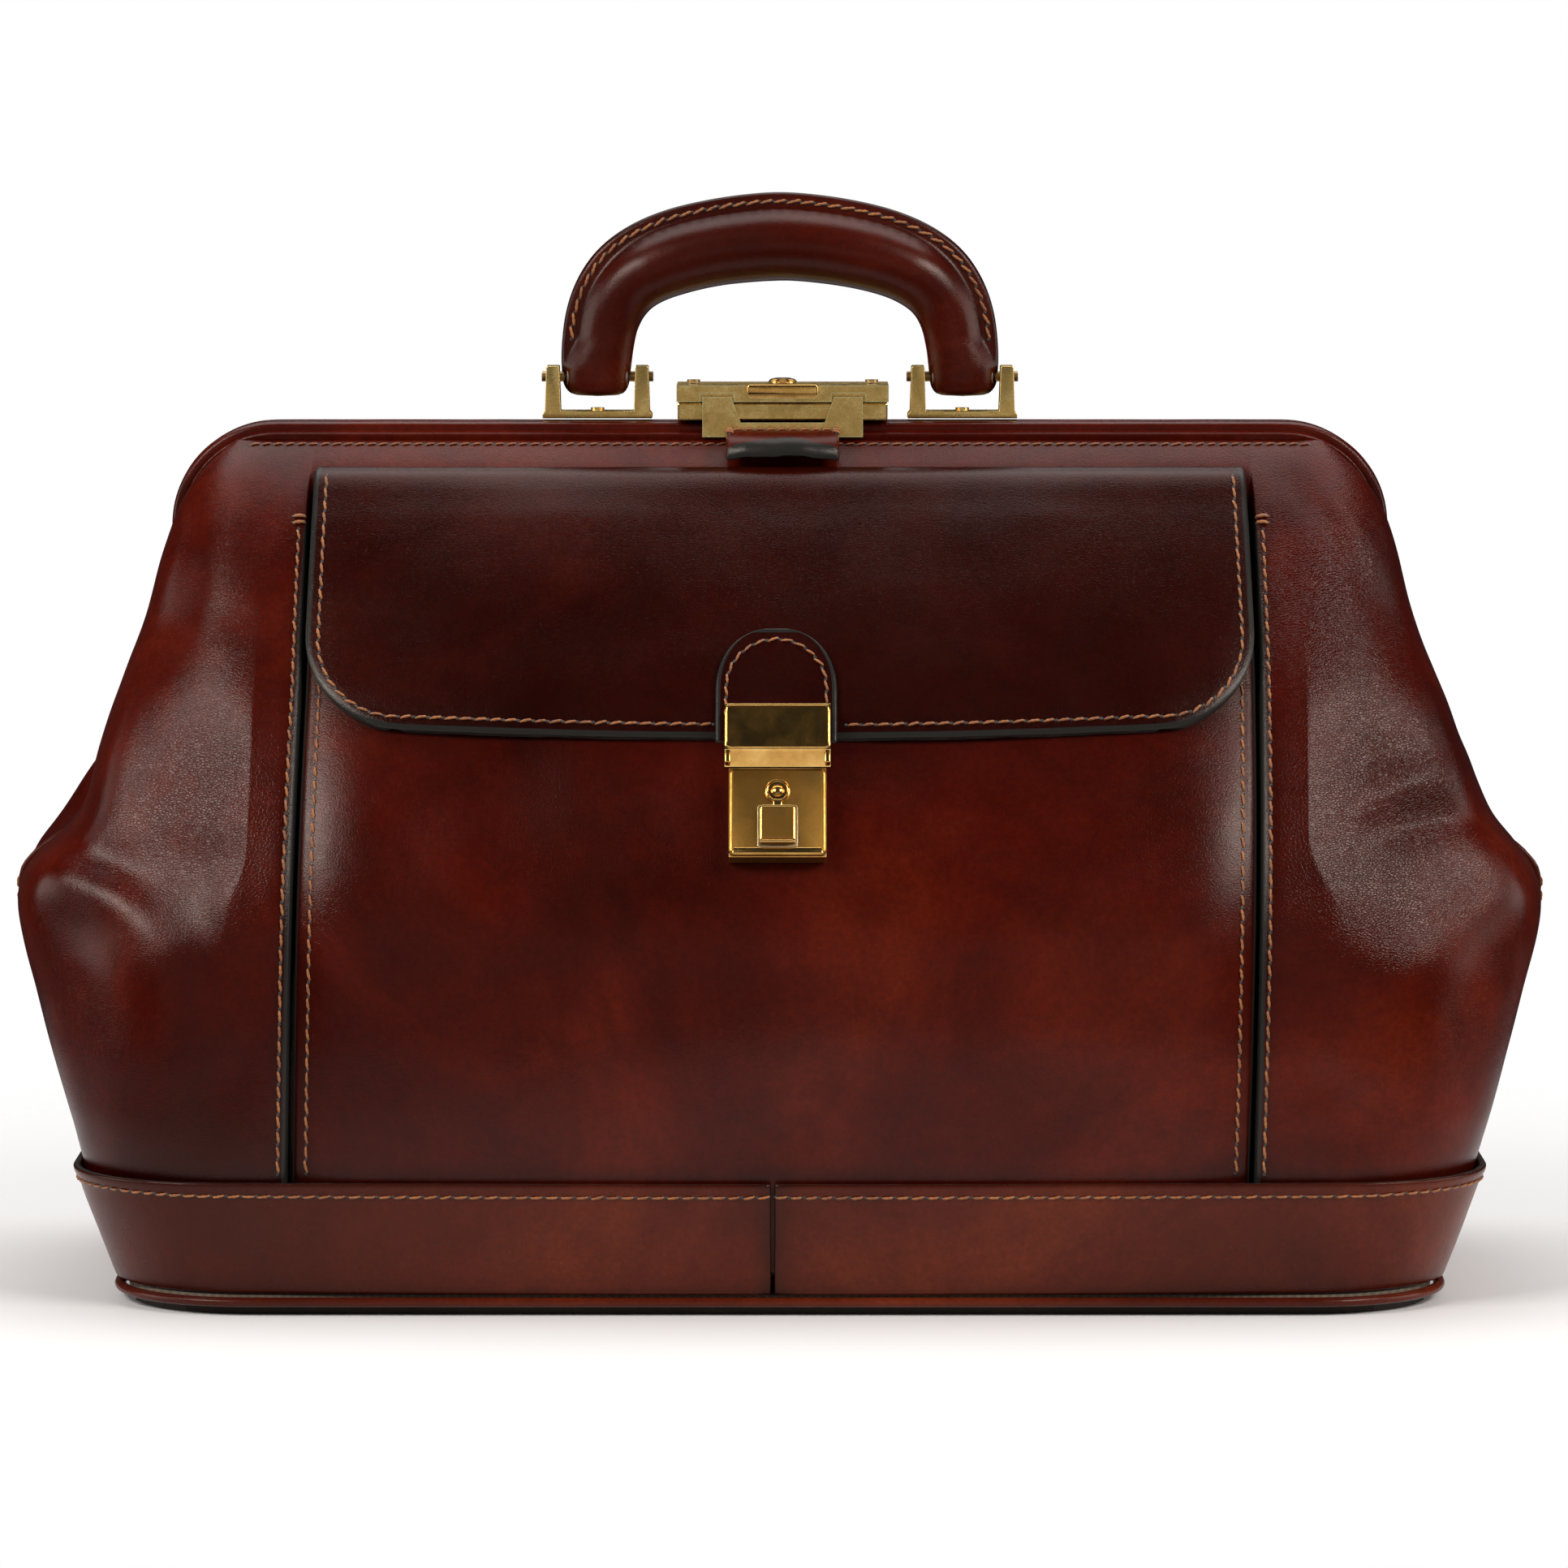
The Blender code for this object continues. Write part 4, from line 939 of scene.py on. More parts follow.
def build_flap_patch():
    """The arched patch that the clasp's cap is fixed on, and its stitches."""
    centre, half_wide, spring, rise = -1.0, 17.2, 177.5, 16.0
    shape = [(z, half_wide) for z in (FLAP_LOW - 0.6, FLAP_LOW + 0.1, 166, 169, 172, 175, spring)]
    for turn in np.linspace(0, 86, 11)[1:]:
        t = math.radians(turn)
        shape.append((spring + rise * math.sin(t), half_wide * math.cos(t) ** 0.85))
    us = np.concatenate([[-1, -0.96], np.linspace(-0.84, 0.84, 9), [0.96, 1]])
    grid = np.array([points(centre + us * half, flap_surface(centre + us * half, z, GAP + 1.7), z)
                     for z, half in shape])
    heights = np.array([z for z, half in shape])[:, None]
    rim = np.minimum((1 - np.abs(us))[None, :] * 17.0, spring + rise - heights)
    patch = sheet_piece("flap_patch_leather", grid, 1.6, [SHADED_FLAP, PAINT], np.array([0.0, -1.0, 0.4]),
                        dark=peak(rim, 1.6) * 0.4, rim=np.clip(1.0 - rim / 3.6, 0, 1))
    path = [(centre - 14.2, z) for z in np.arange(168.0, spring, 2.5)]
    for turn in np.linspace(-90, 90, 23):
        t = math.radians(turn)
        path.append((centre + 14.2 * math.sin(t), spring + 13.0 * math.cos(t)))
    path += [(centre + 14.2, z) for z in np.arange(177.0, 167.5, -2.5)]
    x, z = np.array(path).T
    row = points(x, flap_surface(x, z, GAP + 2.0), z)
    return patch, stitches("flap_patch_stitching", [row], patch, THREAD, 3.9, 3.3, 0.36, 14.0)


# ---------------------------------------------------------------- band, base and welts

def band_path(z, grow, sign, dent=0.0):
    """One half of the band's plan outline, from the front seam round a side to the rear's."""
    run = np.concatenate([[0.25, 1.25], np.linspace(6.0, 128.0, 22)])
    quarter = np.vstack([np.stack([run, depth_at(run, z, -grow)], axis=1),
                         half_line(z, -grow, SEAM_X, (0.0, 6.0, 12.0))[:-3]])
    x, y = np.vstack([quarter * [1, -1], quarter[::-1]]).T
    # The two centre seams sit a little off the middle, and sink in.
    return points(sign * x + 2.0 * peak(x, 60.0) * np.sign(y), y - np.sign(y) * dent * peak(x, 1.4), z)


def build_band():
    grow = GAP + LEATHER
    stitch_z = 34.3
    for side, sign in SIDES:
        rows = [BAND_BOTTOM, 6.6, 9, 13, 18, 23, 28, 31.5, 34.5, 36.8, BAND_TOP - 0.5, BAND_TOP]
        swell = [grow + 0.5 * peak(z - 36.6, 1.6) - 0.35 * peak(z - stitch_z, 1.0) for z in rows]
        grid = np.array([band_path(z, out, sign, 0.7) for z, out in zip(rows, swell)])
        x, z = grid[..., 0], grid[..., 2]
        seam = np.minimum(np.abs(x - x[:, :1]), np.abs(x - x[:, -1:]))
        # Painted shade: darker at the top edge, towards the bottom by the floor, and in the sunken centre
        # seams.
        dark = peak(z - BAND_TOP, 0.9) * 0.8 + peak(z - BAND_BOTTOM, 3.0) * 0.55 + peak(seam, 1.5) * 0.8
        fade = np.interp(z, [6, 12, 28, 33], [0, 1, 1, 0])
        grid = ripples(grid, outward_normals(grid) * fade[..., None], 30.0, 0.7, 4.4)
        band = sheet_piece("band_leather_" + side, grid, LEATHER, [BAND, PAINT], away(grid), dark=dark)
        path = band_path(stitch_z, grow + 1.2, sign)
        row = stitches("band_stitching_" + side, [path], band, THREAD, 4.3, 3.5, 0.36, 6.0)
        place(band, "bag", "leather_band", "base_band_" + side)
        place(row, "bag", "leather_band")


def build_piping():
    path = [(x, y, 3.95) for x, y in rounded_outline(190.0, 90.6, 38.0, steps=12)]
    piping = bead("base_piping_leather", path, 180, (0.0, 0.0, 1.0), 1.75, 1.5, BAND, True, 0.05)
    place(piping, "bag", "leather_band", "base_piping")


def proud(z):
    return np.interp(z, [42, 60, 119, 136], [0.0, 1.2, 1.2, 0.2])


def valley_x(z, y):
    """The side's distance from the middle, with its inward fold above the shoulder."""
    fold_y = fold_table(FOLD_Y, z)
    share = (np.abs(y) - fold_y) / max(fold_table(EDGE_Y, z) - fold_y, 0.1)
    return half_width(z) - fold_table(FOLD_IN, z) * (1.0 - np.clip(share, 0.0, 1.0))


def build_welts():
    """A thick raw-edged strip sewn over each side's middle seam, from the band to the shoulder."""
    half = 8.4
    y = np.array([-half, -7.9, -6.4, -4.2, -1.6, 1.6, 4.2, 6.4, 7.9, half])
    puff = 0.5 * np.cos(y / half * np.pi / 2) - 0.3 * peak(np.abs(y) - 6.0, 0.8)
    for side, sign in SIDES:
        grid = []
        for z in np.concatenate([[38.9, 39.6], np.arange(44, 116, 6.0), [117.5, 121, 125, 129, 133, 136]]):
            across = y * np.interp(z, [117, 136], [1.0, 0.45])
            grid.append(points(sign * (valley_x(z, across) + GAP + 1.7 + proud(z) + puff), across, z))
        grid = np.array(grid)
        welt = sheet_piece("side_welt_leather_" + side, grid, 1.9, [BAND], grid * [1, 0, 0],
                           dark=peak(half - np.abs(grid[..., 1]), 0.8) * 0.2)
        z = np.arange(41, 118, 4.0)
        lines = [points(sign * (half_width(z) + GAP + 2.0 + proud(z)), row_y, z) for row_y in (-6.0, 6.0)]
        rows = stitches("side_welt_stitching_" + side, lines, welt)
        place(welt, "bag", "leather_band", "side_welt_" + side)
        place(rows, "bag", "leather_band")


# ---------------------------------------------------------------- linings and side pleats


def lining_grid(front):
    grid = []
    for z in np.concatenate([[9.0], np.arange(16, 240, 7.0), [241.5]]):
        inset = (LEATHER + GAP) * lean(z) + 0.4
        back = pocket_inset(z) if front else 0.0
        left, right = [[(x, y - back * np.interp(abs(x), [134, 142], [1.0, 0.0])) for x, y in line[:-6]]
                       for line in both_sides(z, front, inset, (130.0, 130.0), (0.0, 6.0))]
        middle = [(x, depth_at(x, z, inset + back)) for x in np.linspace(-124, 124, 41)]
        grid.append([(x, max(y, 1.0) * (-1 if front else 1), z) for x, y in left[::-1] + middle + right])
    return np.array(grid)


def build_linings():
    for side, body, panels in (("front", "bag", ("lining_front",)),
                               ("rear", MOUTH, ("lining_rear_lower", "lining_rear_upper"))):
        grid = lining_grid(side == "front")
        fade = np.interp(grid[..., 2], [12, 30, 225, 240], [0, 1, 1, 0])
        sag = np.abs(ripple_field(grid, 26.0, 2.2)) * 1.6 * fade
        grid = grid - outward_normals(grid) * sag[..., None]
        cloth = sheet_piece("lining_cloth_" + side, grid, 0.7, [LINING], away(grid))
        place(cloth, body, "lining_cloth", *panels)


def build_floor_lining():
    grid = []
    for y in np.linspace(-71, 71, 21):
        reach = 181.0 if abs(y) < 38 else 147.0 + math.sqrt(max(0.0, 34.0 ** 2 - (abs(y) - 38.0) ** 2))
        grid.append([(x, y, 7.05 + 0.35 * ripple((x, y, 0), 40.0, 5.5))
                     for x in np.linspace(-reach, reach, 49)])
    grid = np.array(grid)
    base = sheet_piece("lining_cloth_floor", grid, 0.7, [LINING], np.array([0, 0, 1.0]))
    place(base, "bag", "lining_cloth", "lining_base")


def build_side_pleats():
    """Thin leather let into each side behind the frame arms, folded inwards."""
    t = np.arange(-8, 9) / 8
    for side, sign in SIDES:
        grid = []
        for z in np.concatenate([[141.0, 146.0], np.arange(152, 236, 5.0), [239.0, 242.0]]):
            arm = FRAME_HALF - 3.4
            rise = z - (BAR_MIDDLE - FRAME_RADIUS)
            if rise > 0:
                arm = FRAME_HALF - FRAME_RADIUS + math.sqrt(max(0.0, 24.6 ** 2 - rise ** 2)) - 1.0
            edge = min(fold_edge(z, half_width(z)) - 0.6, arm)
            depth = np.interp(z, [141, 165, 186, 225, 242], [5.0, 9.0, 22.0, 24.0, 18.0])
            x = edge - depth * (1 - np.abs(t)) ** 0.9 + 0.8 * np.sin(3 * np.pi * t) * (1 - np.abs(t))
            grid.append(points(sign * x, fold_table(FOLD_Y, z) * t, z))
        grid = np.array(grid)
        # Painted shade, darkest in the middle of each fold, deepest inside.
        inner = np.abs(grid[..., 1]) / np.maximum(np.abs(grid[:, :1, 1]), 0.1)
        pleat = sheet_piece("side_pleat_leather_" + side, grid, 0.9, [BODY, PAINT],
                            np.array([float(sign), 0.0, 0.0]), dark=0.7 * (1 - inner))
        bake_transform(pleat)


# ---------------------------------------------------------------- frame

def frame_points(low):
    """Points along a jaw's bar, each with its outward direction; `low` gives the arms' heights."""
    path = [(-FRAME_HALF, PIVOT_Z + z, -1.0, 0.0) for z in low]
    for turn in np.linspace(0, np.pi / 2, 15):
        path.append((-FRAME_HALF + FRAME_RADIUS * (1 - math.cos(turn)),
                     BAR_MIDDLE - FRAME_RADIUS * (1 - math.sin(turn)), -math.cos(turn), math.sin(turn)))
    path += [(x, BAR_MIDDLE, 0.0, 1.0) for x in np.linspace(-FRAME_HALF + FRAME_RADIUS + 8, 0, 18)]
    return path + [(-x, z, -nx, nz) for x, z, nx, nz in reversed(path[:-1])]


def build_wraps():
    """Leather rolled round the two steel bars."""
    for side, sign, body in (("front", -1, "bag"), ("rear", 1, "rear_jaw")):
        path = frame_points([9.2, 9.8, 14, 20, 27, 34, 40])
        rings = []
        for k, (x, z, nx, nz) in enumerate(path):
            shrink = 0.82 if k in (0, len(path) - 1) else 1.0
            ring = []
            for turn in np.linspace(0, 2 * np.pi, 20, endpoint=False):
                c, s = math.cos(turn), math.sin(turn)
                b = 4.0 * math.copysign(abs(s) ** 0.75, s) * shrink
                a = 2.2 * math.copysign(abs(c) ** 0.55, c) * shrink + 0.12 * ripple((x, b * 3, z), 8.0, 4.0)
                ring.append((x + nx * a, sign * (4.4 + b), z + nz * a))
            rings.append(ring)
        wrap = tube_piece(side + "_bar_wrap_leather", rings, [BODY])
        place(wrap, body, "leather_brown", side + "_bar_wrap")


def build_hem_bindings():
    """Narrow leather strips that close each wall's top edge onto its frame bar."""
    bar_side = 6.6
    for side, sign, body in (("front", -1, "bag"), ("rear", 1, "rear_jaw")):
        grid = []
        for x, z, nx, nz in frame_points([22, 28, 34, 40]):
            reach = np.interp(abs(x), [150, 160, 175], [12.6, 10.6, 10.2])
            t = np.linspace(0, 1, 7)
            # The strip turns down inside the wall, so that no light shows through the seam.
            rise = np.concatenate([0.6 - 1.5 * t - 0.7 * np.sin(np.pi * t), [-1.8, -3.0, -4.4]])
            y = np.concatenate([bar_side + (reach - bar_side) * t, reach - np.array([0.1, 0.5, 1.0])])
            grid.append(points(x + nx * rise, sign * y, z + nz * rise))
        grid = np.array(grid)
        out = np.zeros_like(grid) + np.array([0.0, 0.0, 1.0])
        out[..., 0] = np.sign(grid[..., 0]) * (np.abs(grid[..., 0]) > 160)
        out[:, 7:] = (0.0, sign, 0.3)
        place_brown(body, sheet_piece(side + "_hem_binding_leather", grid, 1.1, [BODY], out))


def build_pull_tab():
    """Folded leather tab over the catch, its lower lip curling forward."""
    section = np.array([(-13.9, 243.4), (-14.0, 247.0), (-16.4, 247.5), (-19.2, 247.4), (-22.0, 246.8),
                        (-24.6, 245.7), (-26.6, 244.0), (-27.5, 242.0), (-27.4, 240.4), (-26.4, 240.0),
                        (-25.0, 240.9), (-22.6, 242.2), (-19.6, 243.1), (-16.6, 243.4)])
    y, z = section.T
    forward = np.interp(-y, [18, 27], [0.0, 1.0])
    rings = []
    for x in np.concatenate([[-16.4, -16.1], np.linspace(-15.0, 15.0, 21), [16.1, 16.4]]):
        shrink = 0.86 if abs(x) > 16.3 else 1.0
        wave = 0.28 * math.sin(x * 0.42) + 0.15 * math.sin(x * 1.1 + 1.0)
        rings.append(points(x + LOCK_X, -20.5 + (y + 20.5) * shrink + 0.009 * forward * x ** 2,
                            243.8 + (z - 243.8) * shrink + forward * (0.8 * wave - 0.005 * x ** 2)))
    front = -np.array(rings)[..., 1]
    tab = tube_piece("pull_tab_leather", rings, [BODY], dark=np.interp(front, [24.4, 25.8], [0.0, 0.3]),
                     rim=np.interp(front, [23.6, 25.0], [0.0, 1.0]))
    top = points(LOCK_X + np.linspace(-14.5, 14.5, 12), -17.0, 248.4)
    rows = stitches("pull_tab_stitching", [top], tab, THREAD, 3.2, 2.7, 0.38, 12.0)
    ends = [[(LOCK_X + x, -15.2, 248.4), (LOCK_X + x, -21.0, 248.0)] for x in (-15.6, 15.6)]
    bars = stitches("pull_tab_tacks", ends, tab, THREAD, 2.0, 2.6, 0.42, 70.0)
    place(tab, "bag", "leather_brown", "pull_tab")
    place_brown("bag", rows, bars)


# ---------------------------------------------------------------- handle

# Left half of the grip's middle line: x, z and the grip's half width there.
HANDLE_LINE = [(-53.3, 256.2, 9.0), (-53.6, 259.0, 9.6), (-53.6, 265.5, 10.3), (-53.1, 272.0, 10.6),
               (-51.8, 279.0, 10.9), (-49.0, 285.6, 11.3), (-44.4, 291.2, 11.8), (-37.6, 295.6, 12.2),
               (-29.0, 298.8, 12.5), (-19.0, 301.0, 12.7), (-9.0, 302.3, 12.9), (0.0, 302.8, 13.0)]
FLANGE = 5.2
FLANGE_HALF = 1.7
GRIP_END_SHRINK = (0.78, 0.93)


def handle_section(half, deep, flange_width):
    """Round padded body with a flat stitched flange along its outer edge."""
    body_mid = -flange_width * 0.5
    upper = []
    for a in -half * np.cos(np.pi * np.linspace(0, 1, 23)):
        u = (a - body_mid) / (half + body_mid)
        body = deep * math.sqrt(max(0.0, 1 - u * u)) if abs(u) < 1 else 0.0
        tip = max(0.0, (a - (half - FLANGE_HALF)) / FLANGE_HALF)
        flange = FLANGE_HALF * math.sqrt(max(0.0, 1 - min(1.0, tip) ** 2)) if a > body_mid else 0.0
        upper.append((a, (body ** 6 + flange ** 6) ** (1 / 6)))
    return upper + [(a, -y) for a, y in reversed(upper[1:-1])]


def build_handle():
    path = spline(HANDLE_LINE + [(-x, z, w) for x, z, w in reversed(HANDLE_LINE[:-1])], 97)
    last = len(path) - 1
    rings, dark = [], []
    edge_front, edge_back = [], []
    for k, (x, z, half) in enumerate(path):
        ahead = path[min(k + 1, last)] - path[max(k - 1, 0)]
        end = min(k, last - k)
        out = np.array([-ahead[1], 0, ahead[0]]) / math.hypot(ahead[0], ahead[1])
        if end < 3:
            out = np.array([-1.0 if k < 3 else 1.0, 0, 0])
        deep = np.interp(abs(x), [0, 40, 53.6], [9.0, 8.6, 6.2])
        shrink = GRIP_END_SHRINK[end] if end < 2 else 1.0
        flange = FLANGE * np.interp(z, [264, 273], [0.12, 1.0])
        ring, tone = [], []
        for a, y in handle_section(half, deep, flange):
            # Soft unevenness, stronger on the padded body than on the flange.
            puff = shrink * (1.0 + 0.02 * ripple((x, y, z), 14.0, 1.2) * (1 if a < half - flange else 0.2))
            ring.append(np.array([x, HANDLE_Y + y * puff, z]) + out * (a * puff))
            # Darker at the flange's outer edge, which is its own dark edge dye, and in the crease between the
            # padded body and the flange, which is painted shade.
            tone.append(0.9 * peak(half - a, 1.0) + 0.55 * peak(half - flange + 0.2 - a, 0.8))
        rings.append(ring)
        dark.append(tone)
        if z > 270.5:
            edge_front.append(np.array([x, HANDLE_Y - 2.4, z]) + out * (half - 2.7))
            edge_back.append(np.array([x, HANDLE_Y + 2.4, z]) + out * (half - 2.7))
    grip = tube_piece("handle_grip_leather", rings, [GRIP], dark=np.array(dark))
    rows = stitches("handle_stitching", [edge_front, edge_back], grip, THREAD, 4.0, 3.9, 0.40, 16.0)
    place(grip, "handle", "leather_band", "handle_leather")
    place(rows, "handle", "leather_band")


# ---------------------------------------------------------------- hardware

CLASP_TILT = math.atan(0.5)
CLASP_BASE = np.array([-0.6, -91.5, 128.8])
ACROSS = np.array([1.0, 0.0, 0.0])
CLASP_UP = np.array([0, math.sin(CLASP_TILT), math.cos(CLASP_TILT)])
CLASP_OUT = np.array([0, -math.cos(CLASP_TILT), math.sin(CLASP_TILT)])
KEY_V = 18.9


def on_clasp(u, v, n):
    return CLASP_BASE + ACROSS * u + CLASP_UP * v + CLASP_OUT * n


def upright(x, z, y):
    return np.array([x, y, z])


def round_edges(obj, width):
    mod = obj.modifiers.new("soft_edges", "BEVEL")
    mod.width = width * MM
    mod.segments = 3
    mod.limit_method = "ANGLE"
    mod.angle_limit = math.radians(35)
    mod.harden_normals = False


def plate_piece(name, outline, lo, hi, mat, edge, place_point=on_clasp):
    """Bevelled plate from an outline, extruded along a chosen direction."""
    count = len(outline)
    verts = [place_point(a, b, level) for level in (lo, hi) for a, b in outline]
    faces = [tuple(range(count)), tuple(range(2 * count - 1, count - 1, -1))]
    for k in range(count):
        nxt = (k + 1) % count
        faces.append((k, nxt, count + nxt, count + k))
    obj = mesh_object(name, verts, faces, [mat], smooth=False)
    flip_if_inside_out(obj)
    round_edges(obj, edge)
    bake(obj)
    obj.data.shade_smooth()
    obj.data.set_sharp_from_angle(angle=math.radians(40))
    return obj


def build_hardware():
    """Finish the CAD's own hardware: a material and, where it shows, softened edges."""
    for names, mat, edge in (
            ("clasp_cap lock_thumb_slide", POLISHED, 0.35), ("clasp_lock_body", SATIN, 0.35),
            ("clasp_slider", SATIN, 0.3), ("clasp_key_barrel lock_key_disc", POLISHED, 0.15),
            ("clasp_tongue clasp_back_plate handle_loop_left handle_loop_right", STEEL, 0.1),
            ("front_frame rear_frame handle_core", STEEL, 0.0),
            ("hinge_pin_left hinge_pin_right", STEEL, 0.15),
            ("catch_plate", BRASS, 0.25), ("lock_box", BRASS, 0.35), ("lock_top_plate", BRASS, 0.4),
            ("catch_stud_left catch_stud_right bracket_rivet_left bracket_rivet_right", BRASS, 0.2),
            ("lock_screw_left lock_screw_right", BRASS_DARK, 0.2),
            ("handle_pin_left handle_pin_right", BRASS_DARK, 0.3),
            ("base_sole", SOLE, 0.6), ("base_board", BOARD, 0.3)):
        for name in names.split():
            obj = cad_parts[name]
            for slot in obj.material_slots:
                slot.material = mat
            if not obj.material_slots:
                obj.data.materials.append(mat)
            if edge:
                round_edges(obj, edge)


def build_lock_details():
    """Tapered yokes that hold the handle, and the polished bar of the thumb slide."""
    half = [(16.0, 249.9), (16.0, 251.2), (15.3, 252.0), (14.9, 264.9), (14.6, 265.2), (11.3, 265.2),
            (11.1, 264.9), (10.7, 252.1)]
    outline = half + [(-x, z) for x, z in reversed(half)]
    for side, sign in SIDES:
        shape = [(sign * HANDLE_X + x, z) for x, z in outline]
        yoke = plate_piece("handle_yoke_" + side, shape, 0.9, 10.1, BRASS, 0.5, upright)
        place(yoke, "rear_jaw", "antique_brass", "handle_bracket_" + side)
    bar = plate_piece("thumb_slide_bar", rounded_outline(10.4, 1.75, 0.8, (LOCK_X, 258.8)), -15.35, -13.0,
                      POLISHED, 0.6, upright)
    place(bar, "thumb_slide", "antique_brass")


def build_clasp_details():
    """Raised face, rims, key collar and dome on the front clasp."""
    def plate(name, outline, lo, hi, mat, edge, body, slot="polished_gold"):
        place(plate_piece("clasp_" + name, outline, lo, hi, mat, edge), body, slot)

    def rim(name, outline, count, level, radius, body):
        path = [on_clasp(u, v, level) for u, v in outline]
        place(bead("clasp_" + name, path, count, CLASP_OUT, radius, radius, POLISHED), body, "polished_gold")

    chamfer = [(-12.9, 0.25), (12.9, 0.25), (12.4, 2.1), (-12.4, 2.1)]
    plate("face_plate", rounded_outline(13.8, 13.0, 1.6, (0.0, 12.95)), 5.9, 8.52, SATIN, 0.9, "bag")
    plate("foot_bevel", chamfer, 7.7, 8.56, POLISHED, 0.3, "bag")
    rim("cap_rim", rounded_outline(14.55, 6.55, 1.2, (0.0, 37.1), 6), 96, 12.0, 0.34, "flap")
    for side, sign in SIDES:
        cheek = [(sign * 13.3, 26.4), (sign * 14.85, 26.4), (sign * 14.85, 30.4), (sign * 13.3, 30.4)]
        plate("lip_cheek_" + side, cheek, 8.5, 11.9, POLISHED, 0.3, "flap")
    turns = np.linspace(0, 2 * np.pi, 40, endpoint=False)
    collar = [(3.1 * math.cos(turn), KEY_V + 3.1 * math.sin(turn)) for turn in turns]
    rim("key_collar", collar, 40, 8.75, 0.5, "bag")
    rings = []
    for turn in np.radians(np.linspace(0, 84, 8)):
        rings.append(ellipse_ring(on_clasp(0, KEY_V, 8.7 + 1.1 * math.sin(turn)), ACROSS, CLASP_UP,
                                  1.9 * math.cos(turn), 1.9 * math.cos(turn), 20))
    dome = tube_piece("clasp_key_dome", rings, [POLISHED], subdivide=False)
    place(dome, "clasp_key", "polished_gold")
    rim("slider_rim", rounded_outline(4.7, 5.2, 0.6, (0.0, 8.5), 4), 96, 10.55, 0.3, "clasp_slide")
    # A dark plate under the slider, showing as a thin dark line round it: painted shade for the groove the
    # slider runs in.
    plate("slider_bed", rounded_outline(5.7, 6.4, 0.8, (0.0, 8.3), 4), 8.3, 8.57, BRASS_DARK, 0.08, "bag",
          "antique_brass")
    neck = [(-1.3, 13.6), (1.3, 13.6), (1.3, 16.4), (-1.3, 16.4)]
    plate("guide_neck", neck, 8.3, 9.2, POLISHED, 0.3, "bag")


# ---------------------------------------------------------------- studio

WARM = (1.0, 0.95, 0.91)
WHITE = (1.0, 1.0, 1.0)
LIGHTS = [("softbox_left", (-1.20, -1.14, 1.24), (0, 0, 0.16), 0.92, 0.48, 26, WARM),
          ("softbox_right", (1.24, -1.12, 1.24), (0, 0, 0.16), 0.92, 0.48, 26, WARM),
          ("overhead", (0, 0.40, 1.95), (0, 0.1, 0), 2.2, 1.2, 28, WHITE),
          ("side_left", (-1.7, -0.15, 0.45), (0, 0, 0.2), 1.1, 0.9, 10, WARM),
          ("side_right", (1.7, -0.15, 0.45), (0, 0, 0.2), 1.1, 0.9, 10, WARM),
          ("backlight", (0, 1.7, 1.7), (0, 0, 0.2), 2.2, 0.7, 9, WHITE),
          ("front_card", (0, -3.4, 0.35), (0, 0, 0.15), 3.4, 0.9, 5.2, WARM)]


def stand(name, data, place_at, aim):
    """An object at a place, looking at its aim."""
    obj = bpy.data.objects.new(name, data)
    obj.location = place_at
    obj.rotation_euler = (Vector(aim) - Vector(place_at)).to_track_quat("-Z", "Y").to_euler()
    bpy.context.scene.collection.objects.link(obj)
    return obj


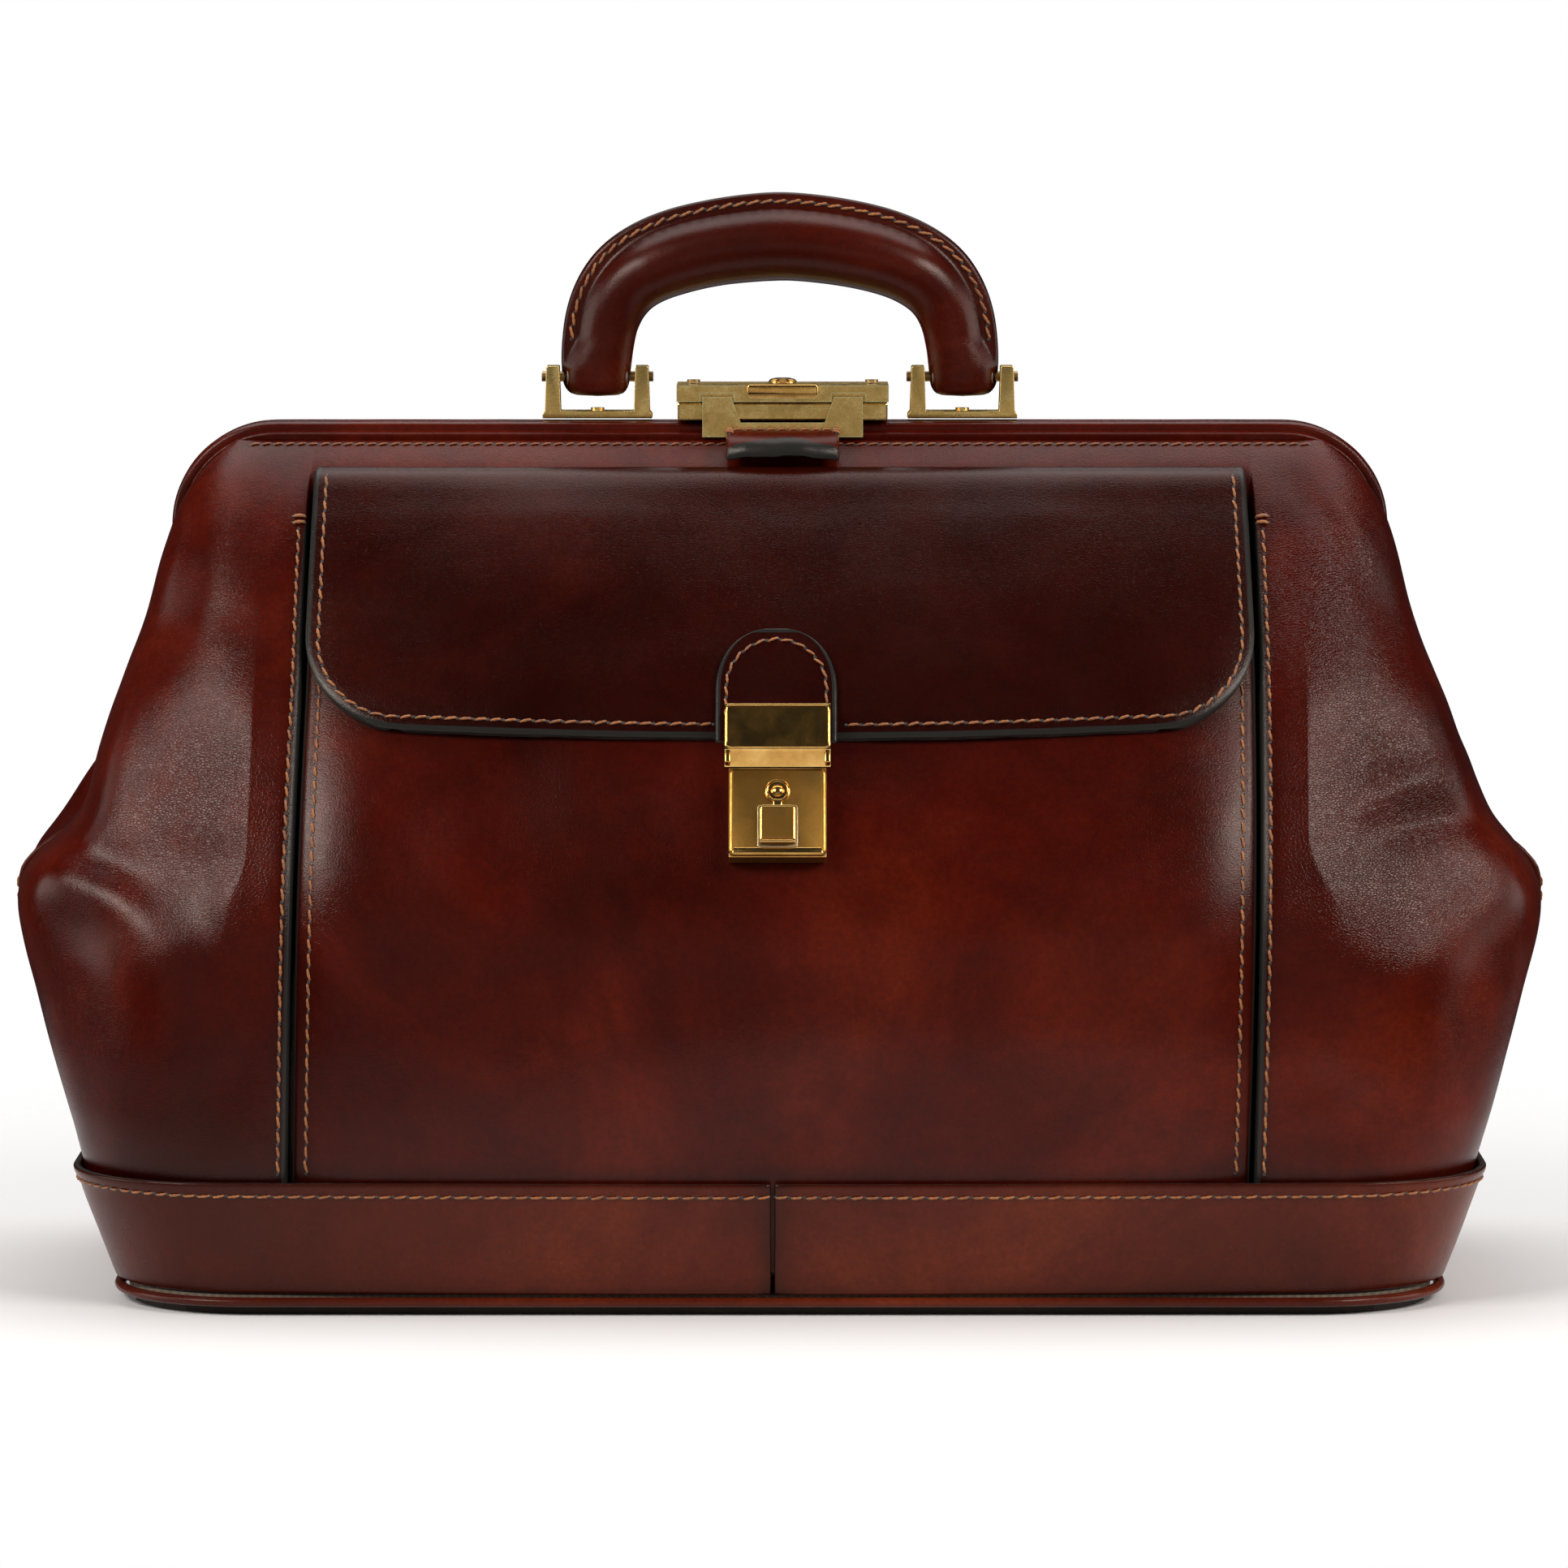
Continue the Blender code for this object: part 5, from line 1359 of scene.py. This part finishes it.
def build_floor():
    sides, radius = 64, 2200.0
    ring = [(0.0, 0.0, 0.0)] + [(radius * math.cos(2 * math.pi * k / sides),
                                 radius * math.sin(2 * math.pi * k / sides), 0.0) for k in range(sides)]
    look = Look("floor_pale")
    # The floor thins out away from the bag, so it ends in white with no edge.
    far = look.add("VectorMath", "Value", {0: look.at}, operation="LENGTH")
    pale = look.finish(Base_Color=look.ramp(look.noise(1.5, 3.0), (0.3, scaled(WHITE, 0.76)),
                                            (0.7, scaled(WHITE, 0.80))),
                       Roughness=0.6, Specular_IOR_Level=0.1, Alpha=look.levels(far, 0.25, 0.48, 1.0, 0.0))
    faces = [(0, k + 1, (k + 1) % sides + 1) for k in range(sides)]
    mesh_object("studio_floor", ring, faces, [pale], smooth=False)


def build_world():
    """A faint cool fill; the camera itself sees plain white."""
    world = bpy.data.worlds.new("studio")
    bpy.context.scene.world = world
    world.use_nodes = True
    tree = world.node_tree
    back = tree.nodes["Background"]
    white = tree.nodes.new("ShaderNodeBackground")
    for shader, colour, strength in ((back, (0.9, 0.95, 1.0, 1), 0.02), (white, (1, 1, 1, 1), 1.0)):
        shader.inputs["Color"].default_value = colour
        shader.inputs["Strength"].default_value = strength
    path = tree.nodes.new("ShaderNodeLightPath")
    join = tree.nodes.new("ShaderNodeMixShader")
    for source, target in ((path.outputs["Is Camera Ray"], join.inputs["Fac"]),
                           (back.outputs["Background"], join.inputs[1]),
                           (white.outputs["Background"], join.inputs[2]),
                           (join.outputs["Shader"], tree.nodes["World Output"].inputs["Surface"])):
        tree.links.new(source, target)


def build_lights_and_camera():
    for name, place_at, aim, width, height, power, colour in LIGHTS:
        data = bpy.data.lights.new(name, "AREA")
        data.shape = "RECTANGLE"
        data.size = width
        data.size_y = height
        data.energy = power
        data.color = colour
        stand(name, data, place_at, aim).visible_camera = False
    camera = bpy.data.cameras.new("camera")
    camera.sensor_width = 36.0
    camera.lens = 181.0
    camera.clip_end = 60.0
    bpy.context.scene.camera = stand("camera", camera, (0.0012, -2.3, 0.364), (0.0012, 0.0, 0.1428))
    bpy.context.scene.view_settings.view_transform = "Standard"


for build in (build_floor, build_world, build_lights_and_camera, build_shell, build_pocket,
              build_pocket_gussets, build_flap, build_band, build_piping, build_welts, build_linings,
              build_floor_lining, build_side_pleats, build_wraps, build_hem_bindings, build_pull_tab,
              build_handle, build_hardware, build_lock_details, build_clasp_details):
    build()
